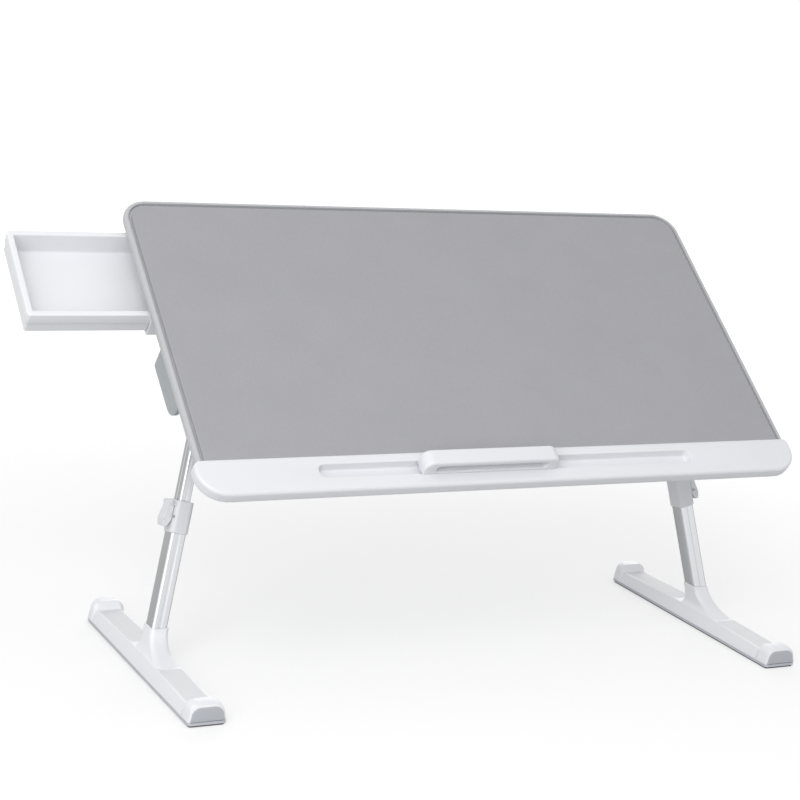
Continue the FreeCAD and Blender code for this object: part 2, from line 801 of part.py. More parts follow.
def rivet(name, place, plane, x, y, at, radius, length, head_radius, head):
    """A pin along the axis that plane leaves out, with a flat head on each end."""
    body = new_body(name, place)
    shank = sketch_on(body, plane, at)
    circle(shank, x, y, radius)
    pad(body, shank, length, 0)
    for side in (-1, 1):
        end = sketch_on(body, plane, at + side * length / 2)
        circle(end, x, y, head_radius)
        pad(body, end, head, side)
    return body


fold_pin_length = ear_place * 2 + ear_thickness
rivet(
    "fold_pin_left",
    on_desk,
    "XZ",
    fold_x,
    hinge_level,
    hinge_depth,
    fold_pin_radius,
    fold_pin_length,
    pin_head_radius,
    pin_head,
)
rivet(
    "paddle_pin_left",
    on_desk,
    "XZ",
    paddle_pin_x,
    paddle_pin_level,
    paddle_depth,
    paddle_pin_radius,
    lug_place * 2 + lug_thickness,
    paddle_pin_radius * rivet_head_share,
    paddle_pin_radius / 2,
)

paddle_top = bracket_underside - slide_gap * 2
paddle = new_body("release_paddle_left", on_desk)
paddle_sketch = sketch_on(paddle, "YZ", -paddle_face)
loop(
    paddle_sketch,
    [
        (paddle_depth - paddle_front, paddle_bottom, paddle_nose),
        (paddle_depth + paddle_rear, paddle_bottom, paddle_corner),
        (paddle_depth + paddle_rear, paddle_top),
        (paddle_depth - paddle_front, paddle_top),
    ],
)
pad(paddle, paddle_sketch, paddle_thickness)
paddle_web = sketch_on(paddle, "XZ", paddle_depth)
rectangle(
    paddle_web,
    paddle_thickness - paddle_face,
    paddle_pin_x,
    paddle_pin_level - paddle_barrel,
    paddle_pin_level + paddle_barrel / 2,
)
pad(paddle, paddle_web, paddle_grip, 0)
paddle_knuckle = sketch_on(paddle, "XZ", paddle_depth)
circle(paddle_knuckle, paddle_pin_x, paddle_pin_level, paddle_barrel)
pad(paddle, paddle_knuckle, paddle_grip, 0)
paddle_bore = sketch_on(paddle, "XZ", paddle_depth)
circle(paddle_bore, paddle_pin_x, paddle_pin_level, paddle_pin_radius + running_fit)
pocket(paddle, paddle_bore, paddle_grip + overrun, 0)

# Knuckle: turns on the fold pin and holds the leg's head in a fork
fork_half = head_thickness / 2 + slide_gap + washer_thickness
fork_outside = fork_half + cheek_thickness
arm_top = bracket_underside - slide_gap
arm_under = arm_top - arm_thickness

knuckle = new_body("fold_knuckle_left", on_desk)
arm_sketch = sketch_on(knuckle, "XZ", hinge_depth)
loop(
    arm_sketch,
    [
        (fold_x, arm_top),
        (-tilt_pin_x - fork_outside, arm_top, arm_round),
        (-tilt_pin_x - fork_outside, arm_under),
        (fold_x - arm_block, arm_under),
        (fold_x - arm_block, hinge_level - arm_foot, arm_round),
        (fold_x, hinge_level - arm_foot),
    ],
)
pad(knuckle, arm_sketch, arm_width, 0)
barrel_sketch = sketch_on(knuckle, "XZ", hinge_depth)
circle(barrel_sketch, fold_x, hinge_level, barrel_radius)
pad(knuckle, barrel_sketch, barrel_length, 0)
for side in (-1, 1):
    cheek = sketch_on(knuckle, "YZ", side * (fork_half + cheek_thickness / 2) - tilt_pin_x)
    loop(
        cheek,
        [
            (hinge_depth - cheek_radius, hinge_level - cheek_radius, cheek_radius - cheek_side),
            (hinge_depth + cheek_radius, hinge_level - cheek_radius, cheek_radius - cheek_side),
            (hinge_depth + arm_width / 2, arm_under),
            (hinge_depth - arm_width / 2, arm_under),
        ],
    )
    pad(knuckle, cheek, cheek_thickness, 0)
fold_bore = sketch_on(knuckle, "XZ", hinge_depth)
circle(fold_bore, fold_x, hinge_level, fold_pin_radius + running_fit)
pocket(knuckle, fold_bore, barrel_length + overrun, 0)
tilt_bore = sketch_on(knuckle, "YZ", -tilt_pin_x)
circle(tilt_bore, hinge_depth, hinge_level, tilt_pin_radius)
pocket(knuckle, tilt_bore, fork_outside * 2, 0)

# Tilt bolt, its lock nut and the two friction washers that hold the desk at its slope
bolt = new_body("tilt_bolt_left", on_desk)
bolt_shank = sketch_on(bolt, "YZ", -tilt_pin_x - fork_outside)
circle(bolt_shank, hinge_depth, hinge_level, tilt_pin_radius)
pad(bolt, bolt_shank, fork_outside * 2 + nut_thickness + bolt_end)
bolt_top = sketch_on(bolt, "YZ", -tilt_pin_x - fork_outside)
circle(bolt_top, hinge_depth, hinge_level, bolt_head_radius)
pad(bolt, bolt_top, bolt_head, -1)


def hexagon(sketch, x, y, across):
    """A six-sided outline about x and y with flats this far apart."""
    flat = across / 2
    slant = across / (2 * math.sqrt(3))
    loop(
        sketch,
        [
            (x - slant, y - flat),
            (x + slant, y - flat),
            (x + slant * 2, y),
            (x + slant, y + flat),
            (x - slant, y + flat),
            (x - slant * 2, y),
        ],
    )


nut = new_body("tilt_nut_left", on_desk)
nut_sketch = sketch_on(nut, "YZ", fork_outside - tilt_pin_x)
hexagon(nut_sketch, hinge_depth, hinge_level, nut_across)
circle(nut_sketch, hinge_depth, hinge_level, tilt_pin_radius)
pad(nut, nut_sketch, nut_thickness)


def washer(name, at, way):
    ring = new_body(name, on_desk)
    ring_sketch = sketch_on(ring, "YZ", at)
    circle(ring_sketch, hinge_depth, hinge_level, washer_radius)
    circle(ring_sketch, hinge_depth, hinge_level, tilt_pin_radius)
    pad(ring, ring_sketch, washer_thickness, way)
    del nodes[name]
    return ring


def group(name, items):
    """One node of separate solids."""
    together = document.addObject("Part::Compound", name)
    together.Label = name
    together.Links = items
    nodes[name] = together
    return together


group(
    "tilt_washers_left",
    [
        washer("washer_outer", -tilt_pin_x - fork_half, 1),
        washer("washer_inner", fork_half - tilt_pin_x, -1),
    ],
)

# Leg head: an eye on the tilt bolt, a straight neck, and a plug that leans into the inner tube
plug_width = inner_width - inner_wall * 2
plug_depth = inner_depth - inner_wall * 2
plug_round = inner_round - inner_wall

head = new_body("leg_head_left", on_head)
eye_sketch = sketch_on(head, "YZ")
circle(eye_sketch, 0, 0, head_radius)
pad(head, eye_sketch, head_thickness, 0)
neck_sketch = sketch_on(head, "YZ")
rectangle(neck_sketch, -neck_depth / 2, neck_depth / 2, -head_drop - shoulder_height / 2, 0)
pad(head, neck_sketch, head_thickness, 0)


def on_splay(body, run):
    """A sketch square to the leg, run down its line from where the neck ends."""
    shift = (-(run * sine(leg_splay)), 0)
    level = -head_drop - run * cosine(leg_splay)
    return sketch_on(body, "XY", level, shift, splayed)


shoulder_sketch = on_splay(head, 0)
block(shoulder_sketch, 0, 0, shoulder_width, shoulder_depth, inner_round)
pad(head, shoulder_sketch, shoulder_height, -1)
plug_sketch = on_splay(head, shoulder_height)
block(plug_sketch, 0, 0, plug_width, plug_depth, plug_round)
pad(head, plug_sketch, plug_length, -1)
eye_bore = sketch_on(head, "YZ")
circle(eye_bore, 0, 0, tilt_pin_radius + running_fit)
pocket(head, eye_bore, head_thickness + overrun, 0)


# Both tubes have a shallow groove down their front and back faces
def square_tube(name, start, width, depth, wall, rounding, length):
    """A drawn rectangular tube that hangs from start along the leg."""
    body = new_body(name, on_leg)
    profile = sketch_on(body, "XY", -start)
    block(profile, 0, 0, width, depth, rounding)
    block(profile, 0, 0, width - wall * 2, depth - wall * 2, rounding - wall)
    pad(body, profile, length, -1)
    grooves = sketch_on(body, "XY", -start)
    for side in (-1, 1):
        block(grooves, 0, side * depth / 2, tube_groove, tube_groove_depth * 2)
    pocket(body, grooves, length)


# Inner tube, and the glide on its lower end
square_tube("inner_tube_left", shoulder_height, inner_width, inner_depth, inner_wall, inner_round, inner_length)
inner_end = shoulder_height + inner_length
glide = new_body("tube_glide_left", on_leg)
glide_sketch = sketch_on(glide, "XY", -inner_end)
glide_width = outer_width - outer_wall * 2 - slide_gap * 2
glide_depth = outer_depth - outer_wall * 2 - slide_gap * 2
block(glide_sketch, 0, 0, glide_width, glide_depth, outer_round - outer_wall)
pad(glide, glide_sketch, glide_height, -1)
glide_top = sketch_on(glide, "XY", -inner_end)
block(glide_top, 0, 0, plug_width, plug_depth, plug_round)
pad(glide, glide_top, glide_plug)

# Outer tube, from inside the collar down into the foot's socket
outer_start = collar_start + collar_shoulder
outer_length = leg_reach - tube_seat - outer_start
square_tube("outer_tube_left", outer_start, outer_width, outer_depth, outer_wall, outer_round, outer_length)

# Clamp collar: grips the outer tube's end, guides the inner tube and carries the cam lever
lever_pin_x = -(collar_width / 2) - slide_gap - lever_barrel
lever_pin_z = -collar_start - lever_drop
lever_lug_place = lever_width / 2 + slide_gap + lever_lug / 2

collar = new_body("clamp_collar_left", on_leg)
collar_sketch = sketch_on(collar, "XY", -collar_start)
block(collar_sketch, 0, 0, collar_width, collar_depth, collar_round)
pad(collar, collar_sketch, collar_height, -1)
for level in (-collar_start, -collar_start - collar_height):
    round_edges(collar, collar_edge, lambda edge: edge_at(edge, "z", level))
for side in (-1, 1):
    lug = sketch_on(collar, "XZ", side * lever_lug_place)
    rectangle(
        lug,
        lever_pin_x - lever_barrel,
        -(collar_width / 2) + collar_round,
        lever_pin_z - lever_barrel,
        lever_pin_z + lever_barrel,
        lever_barrel - lug_side,
    )
    pad(collar, lug, lever_lug, 0)
collar_bore = sketch_on(collar, "XY", -collar_start - collar_height)
block(collar_bore, 0, 0, outer_width, outer_depth, outer_round)
pocket(collar, collar_bore, collar_height - collar_shoulder, 1)
collar_throat = sketch_on(collar, "XY", -collar_start)
throat_width = inner_width + slide_gap * 2
throat_depth = inner_depth + slide_gap * 2
block(collar_throat, 0, 0, throat_width, throat_depth, inner_round)
pocket(collar, collar_throat, collar_shoulder + overrun)
collar_slit = sketch_on(collar, "XY", -collar_start)
rectangle(collar_slit, -collar_width, -inner_width / 2, -slit_width / 2, slit_width / 2)
pocket(collar, collar_slit, slit_length)
lever_bore = sketch_on(collar, "XZ")
circle(lever_bore, lever_pin_x, lever_pin_z, lever_pin_radius)
pocket(collar, lever_bore, collar_depth + overrun, 0)

lever = new_body("clamp_lever_left", on_leg)
lever_knob = sketch_on(lever, "XZ")
circle(lever_knob, lever_pin_x, lever_pin_z, lever_barrel)
pad(lever, lever_knob, lever_width, 0)
lever_inside = -(collar_width / 2) - slide_gap * 2
belly_x = -(collar_width / 2) - lever_belly
lever_end = lever_pin_z - lever_length
lever_sketch = sketch_on(lever, "XZ")
loop(
    lever_sketch,
    [
        (lever_inside, lever_pin_z),
        (lever_pin_x - lever_barrel, lever_pin_z),
        (belly_x, lever_pin_z - lever_belly_drop, lever_round),
        (lever_inside - lever_tip - tip_width, lever_end),
        (lever_inside - lever_tip, lever_end),
        (lever_inside, lever_pin_z - lever_belly_drop),
    ],
)
pad(lever, lever_sketch, lever_width, 0)
lever_hole = sketch_on(lever, "XZ")
circle(lever_hole, lever_pin_x, lever_pin_z, lever_pin_radius + running_fit)
pocket(lever, lever_hole, lever_width + overrun, 0)
rivet(
    "lever_pin_left",
    on_leg,
    "XZ",
    lever_pin_x,
    lever_pin_z,
    0,
    lever_pin_radius,
    lever_lug_place * 2 + lever_lug,
    lever_pin_radius * rivet_head_share,
    lever_pin_radius / 2,
)

# Foot: a long rounded bar with raised ends, a hollowed top each side of the neck, and a socket
foot_bottom = sole_thickness + base_thickness


def foot_outline(sketch, inset):
    """The foot's plan: nearly square at the front and rounder at the back."""
    half = foot_width / 2 - inset
    end = foot_length / 2 - inset
    front = foot_front_corner - inset
    back = foot_back_corner - inset
    loop(sketch, [(-half, -end, front), (half, -end, front), (half, end, back), (-half, end, back)])


shell = new_body("foot_shell_left", on_foot)
shell_section = sketch_on(shell, "XZ")
loop(
    shell_section,
    [
        (-foot_width / 2, foot_bottom),
        (foot_width / 2, foot_bottom),
        (foot_width / 2, foot_bottom + foot_side),
        (foot_top_width / 2, foot_height, foot_top_round),
        (-foot_top_width / 2, foot_height, foot_top_round),
        (-foot_width / 2, foot_bottom + foot_side),
    ],
)
pad(shell, shell_section, foot_length, 0)
shell_trim = sketch_on(shell, "XY", foot_height + overrun)
block(shell_trim, 0, 0, foot_width + overrun, foot_length + overrun)
foot_outline(shell_trim, 0)
pocket(shell, shell_trim, foot_height + overrun * 2)
for neck_end, side in ((neck_front, -1), (neck_back, 1)):
    hollow = sketch_on(shell, "YZ")
    near = side * neck_end
    far = side * (foot_length / 2 - lip_length)
    outline = [
        (near, panel_level + panel_climb, panel_round),
        (far, panel_level, panel_round),
        (far, foot_height + overrun),
        (near, foot_height + overrun),
    ]
    loop(hollow, outline if side > 0 else outline[::-1])
    pocket(shell, hollow, foot_width + overrun, 0)

# The front end stands upright below and slopes back above the end plate
front_cut = sketch_on(shell, "YZ")
front_line = -(foot_length / 2)
loop(
    front_cut,
    [
        (front_line, front_face),
        (front_line + front_slope, foot_height),
        (front_line + front_slope, foot_height + overrun),
        (front_line - overrun, foot_height + overrun),
        (front_line - overrun, front_face),
    ],
)
pocket(shell, front_cut, foot_width + overrun, 0)

# The neck flares from the tube's socket into the bar, and leans with the leg
neck_levels_share = (0.3, 0.5, 0.72, 1.0)
neck_widths_share = (1.36, 1.2, 1.06, 1.0)
neck_depths_share = (2.7, 1.75, 1.22, 1.0)
neck_forward_share = (0.45, 0.2, 0.04, 0.0)
sections = []
for level_share, width_share, depth_share, forward_share in zip(
    neck_levels_share, neck_widths_share, neck_depths_share, neck_forward_share
):
    level = socket_height * level_share
    lean_x = (level - foot_datum) * sine(leg_splay) / (cosine(leg_splay) * cosine(leg_lean))
    lean_y = (level - foot_datum) * sine(leg_lean) / cosine(leg_lean)
    section = sketch_on(shell, "XY", level)
    block(
        section,
        lean_x,
        lean_y - socket_depth * forward_share,
        socket_width * width_share,
        socket_depth * depth_share,
        socket_round,
    )
    sections.append(section)
neck = shell.newObject("PartDesign::AdditiveLoft", "foot_neck")
neck.Profile = sections[0]
neck.Sections = sections[1:]
neck.Ruled = False
document.recompute()
socket_run = (socket_height - foot_datum) / cosine(leg_splay) + overrun
socket_bore = sketch_on(
    shell,
    "XY",
    foot_datum + socket_run * cosine(leg_splay) * cosine(leg_lean),
    (socket_run * sine(leg_splay), socket_run * cosine(leg_splay) * sine(leg_lean)),
    leant * splayed,
)
block(socket_bore, 0, 0, outer_width, outer_depth, outer_round)
pocket(shell, socket_bore, socket_run - tube_seat)


def cap_outline(sketch):
    """The D-shaped end plate, flat below and rounded above."""
    low = foot_bottom + cap_edge
    high = front_face - cap_edge / 2
    loop(
        sketch,
        [
            (-cap_width / 2, low),
            (cap_width / 2, low),
            (cap_width / 2, low + cap_side),
            (cap_top / 2, high, cap_round),
            (-cap_top / 2, high, cap_round),
            (-cap_width / 2, low + cap_side),
        ],
    )


cap_seat = sketch_on(shell, "XZ", -(foot_length / 2))
cap_outline(cap_seat)
pocket(shell, cap_seat, cap_thickness, 1)
cap = new_body("foot_end_cap_left", on_foot)
cap_sketch = sketch_on(cap, "XZ", -(foot_length / 2))
cap_outline(cap_sketch)
pad(cap, cap_sketch, cap_thickness, 1)

base = new_body("foot_base_left", on_foot)
base_sketch = sketch_on(base, "XY", sole_thickness)
foot_outline(base_sketch, 0)
pad(base, base_sketch, base_thickness)
sole = new_body("rubber_sole_left", on_foot)
sole_sketch = sketch_on(sole, "XY")
foot_outline(sole_sketch, sole_inset)
pad(sole, sole_sketch, sole_thickness)

# The right leg and hinge mirror the left ones about the desk's middle
for name in [name for name in nodes if name.endswith("_left")]:
    mirrored = document.addObject("Part::Mirroring", name.replace("_left", "_right"))
    mirrored.Label = name.replace("_left", "_right")
    mirrored.Source = nodes[name]
    mirrored.Normal = X_AXIS
    mirrored.Base = Vector(number(middle_x), 0, 0)
    bind(mirrored, "Base.x", middle_x)
    nodes[mirrored.Label] = mirrored

# Fixing screws: pan heads against the bracket plates and the housing's flanges


def screw(name, x, y, seat):
    item = new_body(name, on_desk)
    shank = sketch_on(item, "XY", seat)
    circle(shank, x, y, screw_radius)
    pad(item, shank, desk_underside + screw_grip - seat)
    cap_of_screw = sketch_on(item, "XY", seat)
    circle(cap_of_screw, x, y, screw_head_radius)
    pad(item, cap_of_screw, screw_head, -1)
    del nodes[name]
    return item


group(
    "housing_screws",
    [screw(f"housing_screw_{i + 1}", x, y, flange_under) for i, (x, y) in enumerate(housing_screws)],
)
bracket_places = bracket_screws + [(-x, y) for x, y in bracket_screws]
group(
    "bracket_screws",
    [screw(f"bracket_screw_{i + 1}", x, y, bracket_underside) for i, (x, y) in enumerate(bracket_places)],
)

document.recompute()
for item in document.Objects:
    if "Invalid" in item.State or "Error" in item.State:
        raise RuntimeError(f"{item.Label} failed: {item.State}")
box = FreeCAD.BoundBox()
for name, item in nodes.items():
    shape = item.Shape
    if shape.isNull() or not shape.isValid() or not shape.Solids:
        raise RuntimeError(f"{name} has no valid solid")
    box.add(shape.BoundBox)
for name, item in nodes.items():
    item.Shape.exportStep(f"parts/{name}.step")
print(len(nodes), "nodes,", box)
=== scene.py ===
"""A folding lap desk with a side drawer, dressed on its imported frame.

Blender's lengths are metres. The sizes below are millimetres, which Directions turns into metres.
"""

import bmesh
import bpy
import json
import math
import numpy as np
from mathutils import Matrix, Vector


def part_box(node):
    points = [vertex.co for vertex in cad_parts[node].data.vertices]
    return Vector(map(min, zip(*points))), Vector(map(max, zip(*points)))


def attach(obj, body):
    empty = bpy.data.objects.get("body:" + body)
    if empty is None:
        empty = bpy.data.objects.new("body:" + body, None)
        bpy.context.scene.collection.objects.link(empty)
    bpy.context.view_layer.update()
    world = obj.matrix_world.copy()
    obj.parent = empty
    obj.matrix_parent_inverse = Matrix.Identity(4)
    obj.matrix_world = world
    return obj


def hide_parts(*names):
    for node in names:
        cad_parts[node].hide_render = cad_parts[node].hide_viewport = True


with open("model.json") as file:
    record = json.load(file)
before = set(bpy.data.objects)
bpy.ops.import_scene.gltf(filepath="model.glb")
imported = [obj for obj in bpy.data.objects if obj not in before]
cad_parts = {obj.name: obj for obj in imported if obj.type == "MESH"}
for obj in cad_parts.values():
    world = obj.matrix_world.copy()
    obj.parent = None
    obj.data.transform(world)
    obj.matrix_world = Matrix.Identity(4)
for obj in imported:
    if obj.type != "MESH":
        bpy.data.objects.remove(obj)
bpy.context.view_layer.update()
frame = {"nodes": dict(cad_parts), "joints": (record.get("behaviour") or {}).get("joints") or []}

# Camera: at the photograph's viewing angle, from the left, above and in front, with a slight roll.
# The spot is in metres, and the lens is a long one on a 36 mm sensor.
camera_spot = Vector((-0.8311, -1.5551, 0.6223))
camera_yaw = math.radians(27.53)
camera_dip = math.radians(12.32)
camera_roll = math.radians(4.99)
camera_data = bpy.data.cameras.new("photo_camera")
camera_data.lens = 88.28
camera_data.sensor_width = 36.0
camera_data.clip_end = 60.0
camera = bpy.data.objects.new("photo_camera", camera_data)
forward = Vector((
    math.sin(camera_yaw) * math.cos(camera_dip),
    math.cos(camera_yaw) * math.cos(camera_dip),
    -math.sin(camera_dip),
))
level = Vector((math.cos(camera_yaw), -math.sin(camera_yaw), 0))
upright = level.cross(forward)
right = level * math.cos(camera_roll) + upright * math.sin(camera_roll)
up = -level * math.sin(camera_roll) + upright * math.cos(camera_roll)
turn = Matrix((right, up, -forward)).transposed().to_4x4()
camera.matrix_world = Matrix.Translation(camera_spot) @ turn
scene = bpy.context.scene
scene.collection.objects.link(camera)
scene.camera = camera

# Light: a pale room that looks white to the camera and in reflections, and three broad soft lamps. The key lamp
# stands high in front on the left, with a lower one beside it for the legs, and the third stands behind.
scene.view_settings.view_transform = "Standard"
world = bpy.data.worlds.new("white_room")
scene.world = world
world.use_nodes = True


def feed(tree, value, socket):
    """Gives an input its number, or links it to the output that is given instead."""
    if isinstance(value, (int, float)):
        socket.default_value = value
    else:
        tree.links.new(value, socket)


def calc(tree, operation, first, second):
    """One sum, product or other step of arithmetic on two outputs or numbers."""
    step = tree.nodes.new("ShaderNodeMath")
    step.operation = operation
    feed(tree, first, step.inputs[0])
    feed(tree, second, step.inputs[1])
    return step.outputs[0]


def light_path_switch(tree, *rays):
    """One value that is 1 for any of these kinds of ray and 0 for the rest."""
    paths = tree.nodes.new("ShaderNodeLightPath")
    value = paths.outputs[rays[0]]
    for ray in rays[1:]:
        value = calc(tree, "MAXIMUM", value, paths.outputs[ray])
    return value


room = world.node_tree
room.nodes.clear()
light_of_room, look_of_room = 0.7, 1.0
mix = room.nodes.new("ShaderNodeMixShader")
world_output = room.nodes.new("ShaderNodeOutputWorld")
room.links.new(light_path_switch(room, "Is Camera Ray", "Is Glossy Ray", "Is Transmission Ray"), mix.inputs[0])
for place, strength in ((1, light_of_room), (2, look_of_room)):
    background = room.nodes.new("ShaderNodeBackground")
    background.inputs["Color"].default_value = (1, 1, 1, 1)
    background.inputs["Strength"].default_value = strength
    room.links.new(background.outputs[0], mix.inputs[place])
room.links.new(mix.outputs[0], world_output.inputs[0])


def lamp(name, spot, aim, width, power):
    """A square soft lamp at a spot, turned to face the aim."""
    data = bpy.data.lights.new(name, "AREA")
    data.size = width
    data.energy = power
    light = bpy.data.objects.new(name, data)
    way = (Vector(aim) - Vector(spot)).normalized()
    light.matrix_world = Matrix.Translation(spot) @ way.to_track_quat("-Z", "Y").to_matrix().to_4x4()
    scene.collection.objects.link(light)


lamp("key_lamp", spot=(-1.3, -1.8, 1.9), aim=(0, 0, 0.2), width=1.6, power=28.0)
lamp("low_lamp", spot=(-1.7, -1.6, 0.5), aim=(0, 0, 0.2), width=1.2, power=13.0)
lamp("back_lamp", spot=(1.3, 2.3, 0.9), aim=(0, 0, 0.25), width=1.6, power=16.0)

# Floor: a wide pale plane. It keeps the stand's soft shadow. The glow that lifts it towards white further out is
# only seen by the camera and in reflections, so it lights nothing.
floor_reach = 20.0
floor_corners = [(x * floor_reach, y * floor_reach, 0.0) for x, y in ((-1, -1), (1, -1), (1, 1), (-1, 1))]
floor_mesh = bpy.data.meshes.new("floor")
floor_mesh.from_pydata(floor_corners, [], [(0, 1, 2, 3)])
floor = bpy.data.objects.new("floor", floor_mesh)
scene.collection.objects.link(floor)
floor_finish = bpy.data.materials.new("floor")
floor_finish.use_nodes = True
floor_tree = floor_finish.node_tree
floor_shader = floor_tree.nodes["Principled BSDF"]
floor_shader.inputs["Base Color"].default_value = (0.5, 0.5, 0.5, 1)
floor_shader.inputs["Roughness"].default_value = 0.9
floor_shader.inputs["Specular IOR Level"].default_value = 0.0
floor_shader.inputs["Emission Color"].default_value = (1, 1, 1, 1)


def object_place(tree):
    """Where the shaded point lies on its object, in metres."""
    return tree.nodes.new("ShaderNodeTexCoord").outputs["Object"]


def s_curve(tree, value, start, end, low, high):
    """Low where the value is before start, high where it is past end, and a smooth S-curve between them."""
    curve = tree.nodes.new("ShaderNodeMapRange")
    curve.interpolation_type = "SMOOTHSTEP"
    for label, number in (("From Min", start), ("From Max", end), ("To Min", low), ("To Max", high)):
        curve.inputs[label].default_value = number
    tree.links.new(value, curve.inputs["Value"])
    return curve.outputs[0]


distance = floor_tree.nodes.new("ShaderNodeVectorMath")
distance.operation = "LENGTH"
floor_tree.links.new(object_place(floor_tree), distance.inputs[0])
glow = s_curve(floor_tree, distance.outputs["Value"], start=0.4, end=2.0, low=0.5, high=0.72)
seen_glow = calc(floor_tree, "MULTIPLY", light_path_switch(floor_tree, "Is Camera Ray", "Is Glossy Ray"), glow)
floor_tree.links.new(seen_glow, floor_shader.inputs["Emission Strength"])
floor_mesh.materials.append(floor_finish)

# Top sheet: a leather-look cover glued on the board. It has a fine pebble grain, and its cut edge is rolled
# over into the groove that runs round it.
mm_in_metre = 1000


class Directions:
    """Three directions and the point they start from: a place is that point plus steps along them in mm."""

    def __init__(self, origin, axes):
        self.origin = np.array(origin, float)
        self.axes = np.array(axes, float)

    def place(self, points):
        """Where these steps along the three directions lead, in metres."""
        return self.origin + np.asarray(points, float) @ self.axes / mm_in_metre

    def steps(self, node):
        """All points of a CAD node as steps along each direction."""
        mesh = frame["nodes"][node].data
        flat = np.empty(len(mesh.vertices) * 3)
        mesh.vertices.foreach_get("co", flat)
        return (flat.reshape(-1, 3) - self.origin) @ self.axes.T * mm_in_metre

    def extent(self, node):
        """Lowest and highest step of a CAD node along each direction."""
        steps = self.steps(node)
        return steps.min(0), steps.max(0)


# The panel slopes away from the user, so what is on it is measured across it, up the slope and out of the
# sheet, from the middle of the joint between ledge and sheet.
joints = {joint["name"]: joint for joint in frame["joints"]}
across = np.array([1.0, 0.0, 0.0])
up_slope = np.array(joints["fold_left_hinge"]["axis"])
desk_axes = np.array([across, up_slope, np.cross(across, up_slope)])
sheet_low, sheet_high = Directions((0, 0, 0), desk_axes).extent("panel_cover")
joint_middle = np.array([(sheet_low[0] + sheet_high[0]) / 2, sheet_low[1], sheet_high[2]])
desk = Directions(joint_middle / mm_in_metre @ desk_axes, desk_axes)


def rounded(low, high, radii, inset=0.0, steps=10):
    """A rectangle's outline drawn in by inset, as points against the clock from its high corner.

    Each corner is a quarter turn about a centre that lies one radius in from both sides.
    """
    least_radius = 0.05
    radii = np.maximum(np.broadcast_to(radii, 4) - inset, least_radius)
    way = np.array([(1, 1), (-1, 1), (-1, -1), (1, -1)])
    corners = np.array([(high[0], high[1]), (low[0], high[1]), (low[0], low[1]), (high[0], low[1])])
    centres = corners - way * (inset + radii[:, None])
    angle = np.radians(90 * np.arange(4)[:, None] + np.linspace(0, 90, steps + 1))
    ring = centres[:, None] + radii[:, None, None] * np.stack([np.cos(angle), np.sin(angle)], -1)
    return ring.reshape(-1, 2)


def about(centre, radius, angle):
    """Points about a centre at a radius and at each of these angles."""
    return np.column_stack([centre[0] + radius * np.cos(angle), centre[1] + radius * np.sin(angle)])


def arc(centre, radius, start, end, steps=5):
    """Points about a centre at one radius, from one angle in degrees to another."""
    return about(centre, radius, np.radians(np.linspace(start, end, steps + 1)))


def at_level(ring, height):
    """A flat ring lifted to one height."""
    return np.column_stack([ring, np.full(len(ring), height)])


def skin(rings, closed=False):
    """Quads between rings of equal counts, which closed joins into a loop and which else get a face at each end.

    Point j of ring i joins point j + 1 and the same two of ring i + 1.
    """
    rings = np.asarray(rings, float)
    count, size = rings.shape[:2]
    i = np.arange(count if closed else count - 1)[:, None]
    j = np.arange(size)[None, :]
    ahead, beside = (i + 1) % count, (j + 1) % size
    quads = np.stack([i * size + j, i * size + beside, ahead * size + beside, ahead * size + j], -1)
    faces = quads.reshape(-1, 4).tolist()
    if not closed:
        faces.append(list(range(size))[::-1])
        faces.append(list(range((count - 1) * size, count * size)))
    return rings.reshape(-1, 3), faces


def shown(name, mesh, form, body, finish, stands_for):
    """The object of a mesh that takes a form. Only edges that bend by more than the crease angle look sharp."""
    crease_angle = math.radians(32.0)
    form.to_mesh(mesh)
    form.free()
    mesh.shade_smooth()
    mesh.set_sharp_from_angle(angle=crease_angle)
    thing = bpy.data.objects.new(name, mesh)
    scene.collection.objects.link(thing)
    mesh.materials.append(finish)
    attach(thing, body)
    if stands_for:
        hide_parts(*stands_for)
    return thing


def piece(name, shells, body, finish, stands_for=()):
    """An object made of shells of points and faces. Its doubles are merged and its faces turned outwards."""
    merge_metres = 1e-6
    starts = np.cumsum([0] + [len(points) for points, _ in shells])
    points = np.concatenate([points for points, _ in shells])
    faces = [[int(start) + spot for spot in face] for (_, group), start in zip(shells, starts) for face in group]
    mesh = bpy.data.meshes.new(name)
    mesh.from_pydata(points, [], faces)
    form = bmesh.new()
    form.from_mesh(mesh)
    bmesh.ops.remove_doubles(form, verts=form.verts, dist=merge_metres)
    bmesh.ops.recalc_face_normals(form, faces=form.faces)
    shown(name, mesh, form, body, finish, stands_for)


def node_group(name, **inputs):
    """A new shader group and its named inputs. Its outputs are the colour, roughness and normal of a finish.

    An input's first value says its kind: four numbers are a colour, three a vector and one a plain value.
    """
    group = bpy.data.node_groups.new(name, "ShaderNodeTree")
    for label, value in inputs.items():
        kind = {3: "Vector", 4: "Color"}[len(value)] if isinstance(value, tuple) else "Float"
        group.interface.new_socket(label, in_out="INPUT", socket_type="NodeSocket" + kind).default_value = value
    for label, kind in (("Colour", "Color"), ("Roughness", "Float"), ("Normal", "Vector")):
        group.interface.new_socket(label, in_out="OUTPUT", socket_type="NodeSocket" + kind)
    return group, group.nodes.new("NodeGroupInput").outputs


def give_back(group, **results):
    """Leads each result to the group's output of that name."""
    way_out = group.nodes.new("NodeGroupOutput")
    for label, result in results.items():
        group.links.new(result, way_out.inputs[label])


def noise(tree, place, scale, detail=2.0, rough=0.5):
    """A noise of this many waves a metre at a place, as a value about one half."""
    texture = tree.nodes.new("ShaderNodeTexNoise")
    texture.inputs["Detail"].default_value = detail
    texture.inputs["Roughness"].default_value = rough
    feed(tree, scale, texture.inputs["Scale"])
    tree.links.new(place, texture.inputs["Vector"])
    return texture.outputs["Fac"]


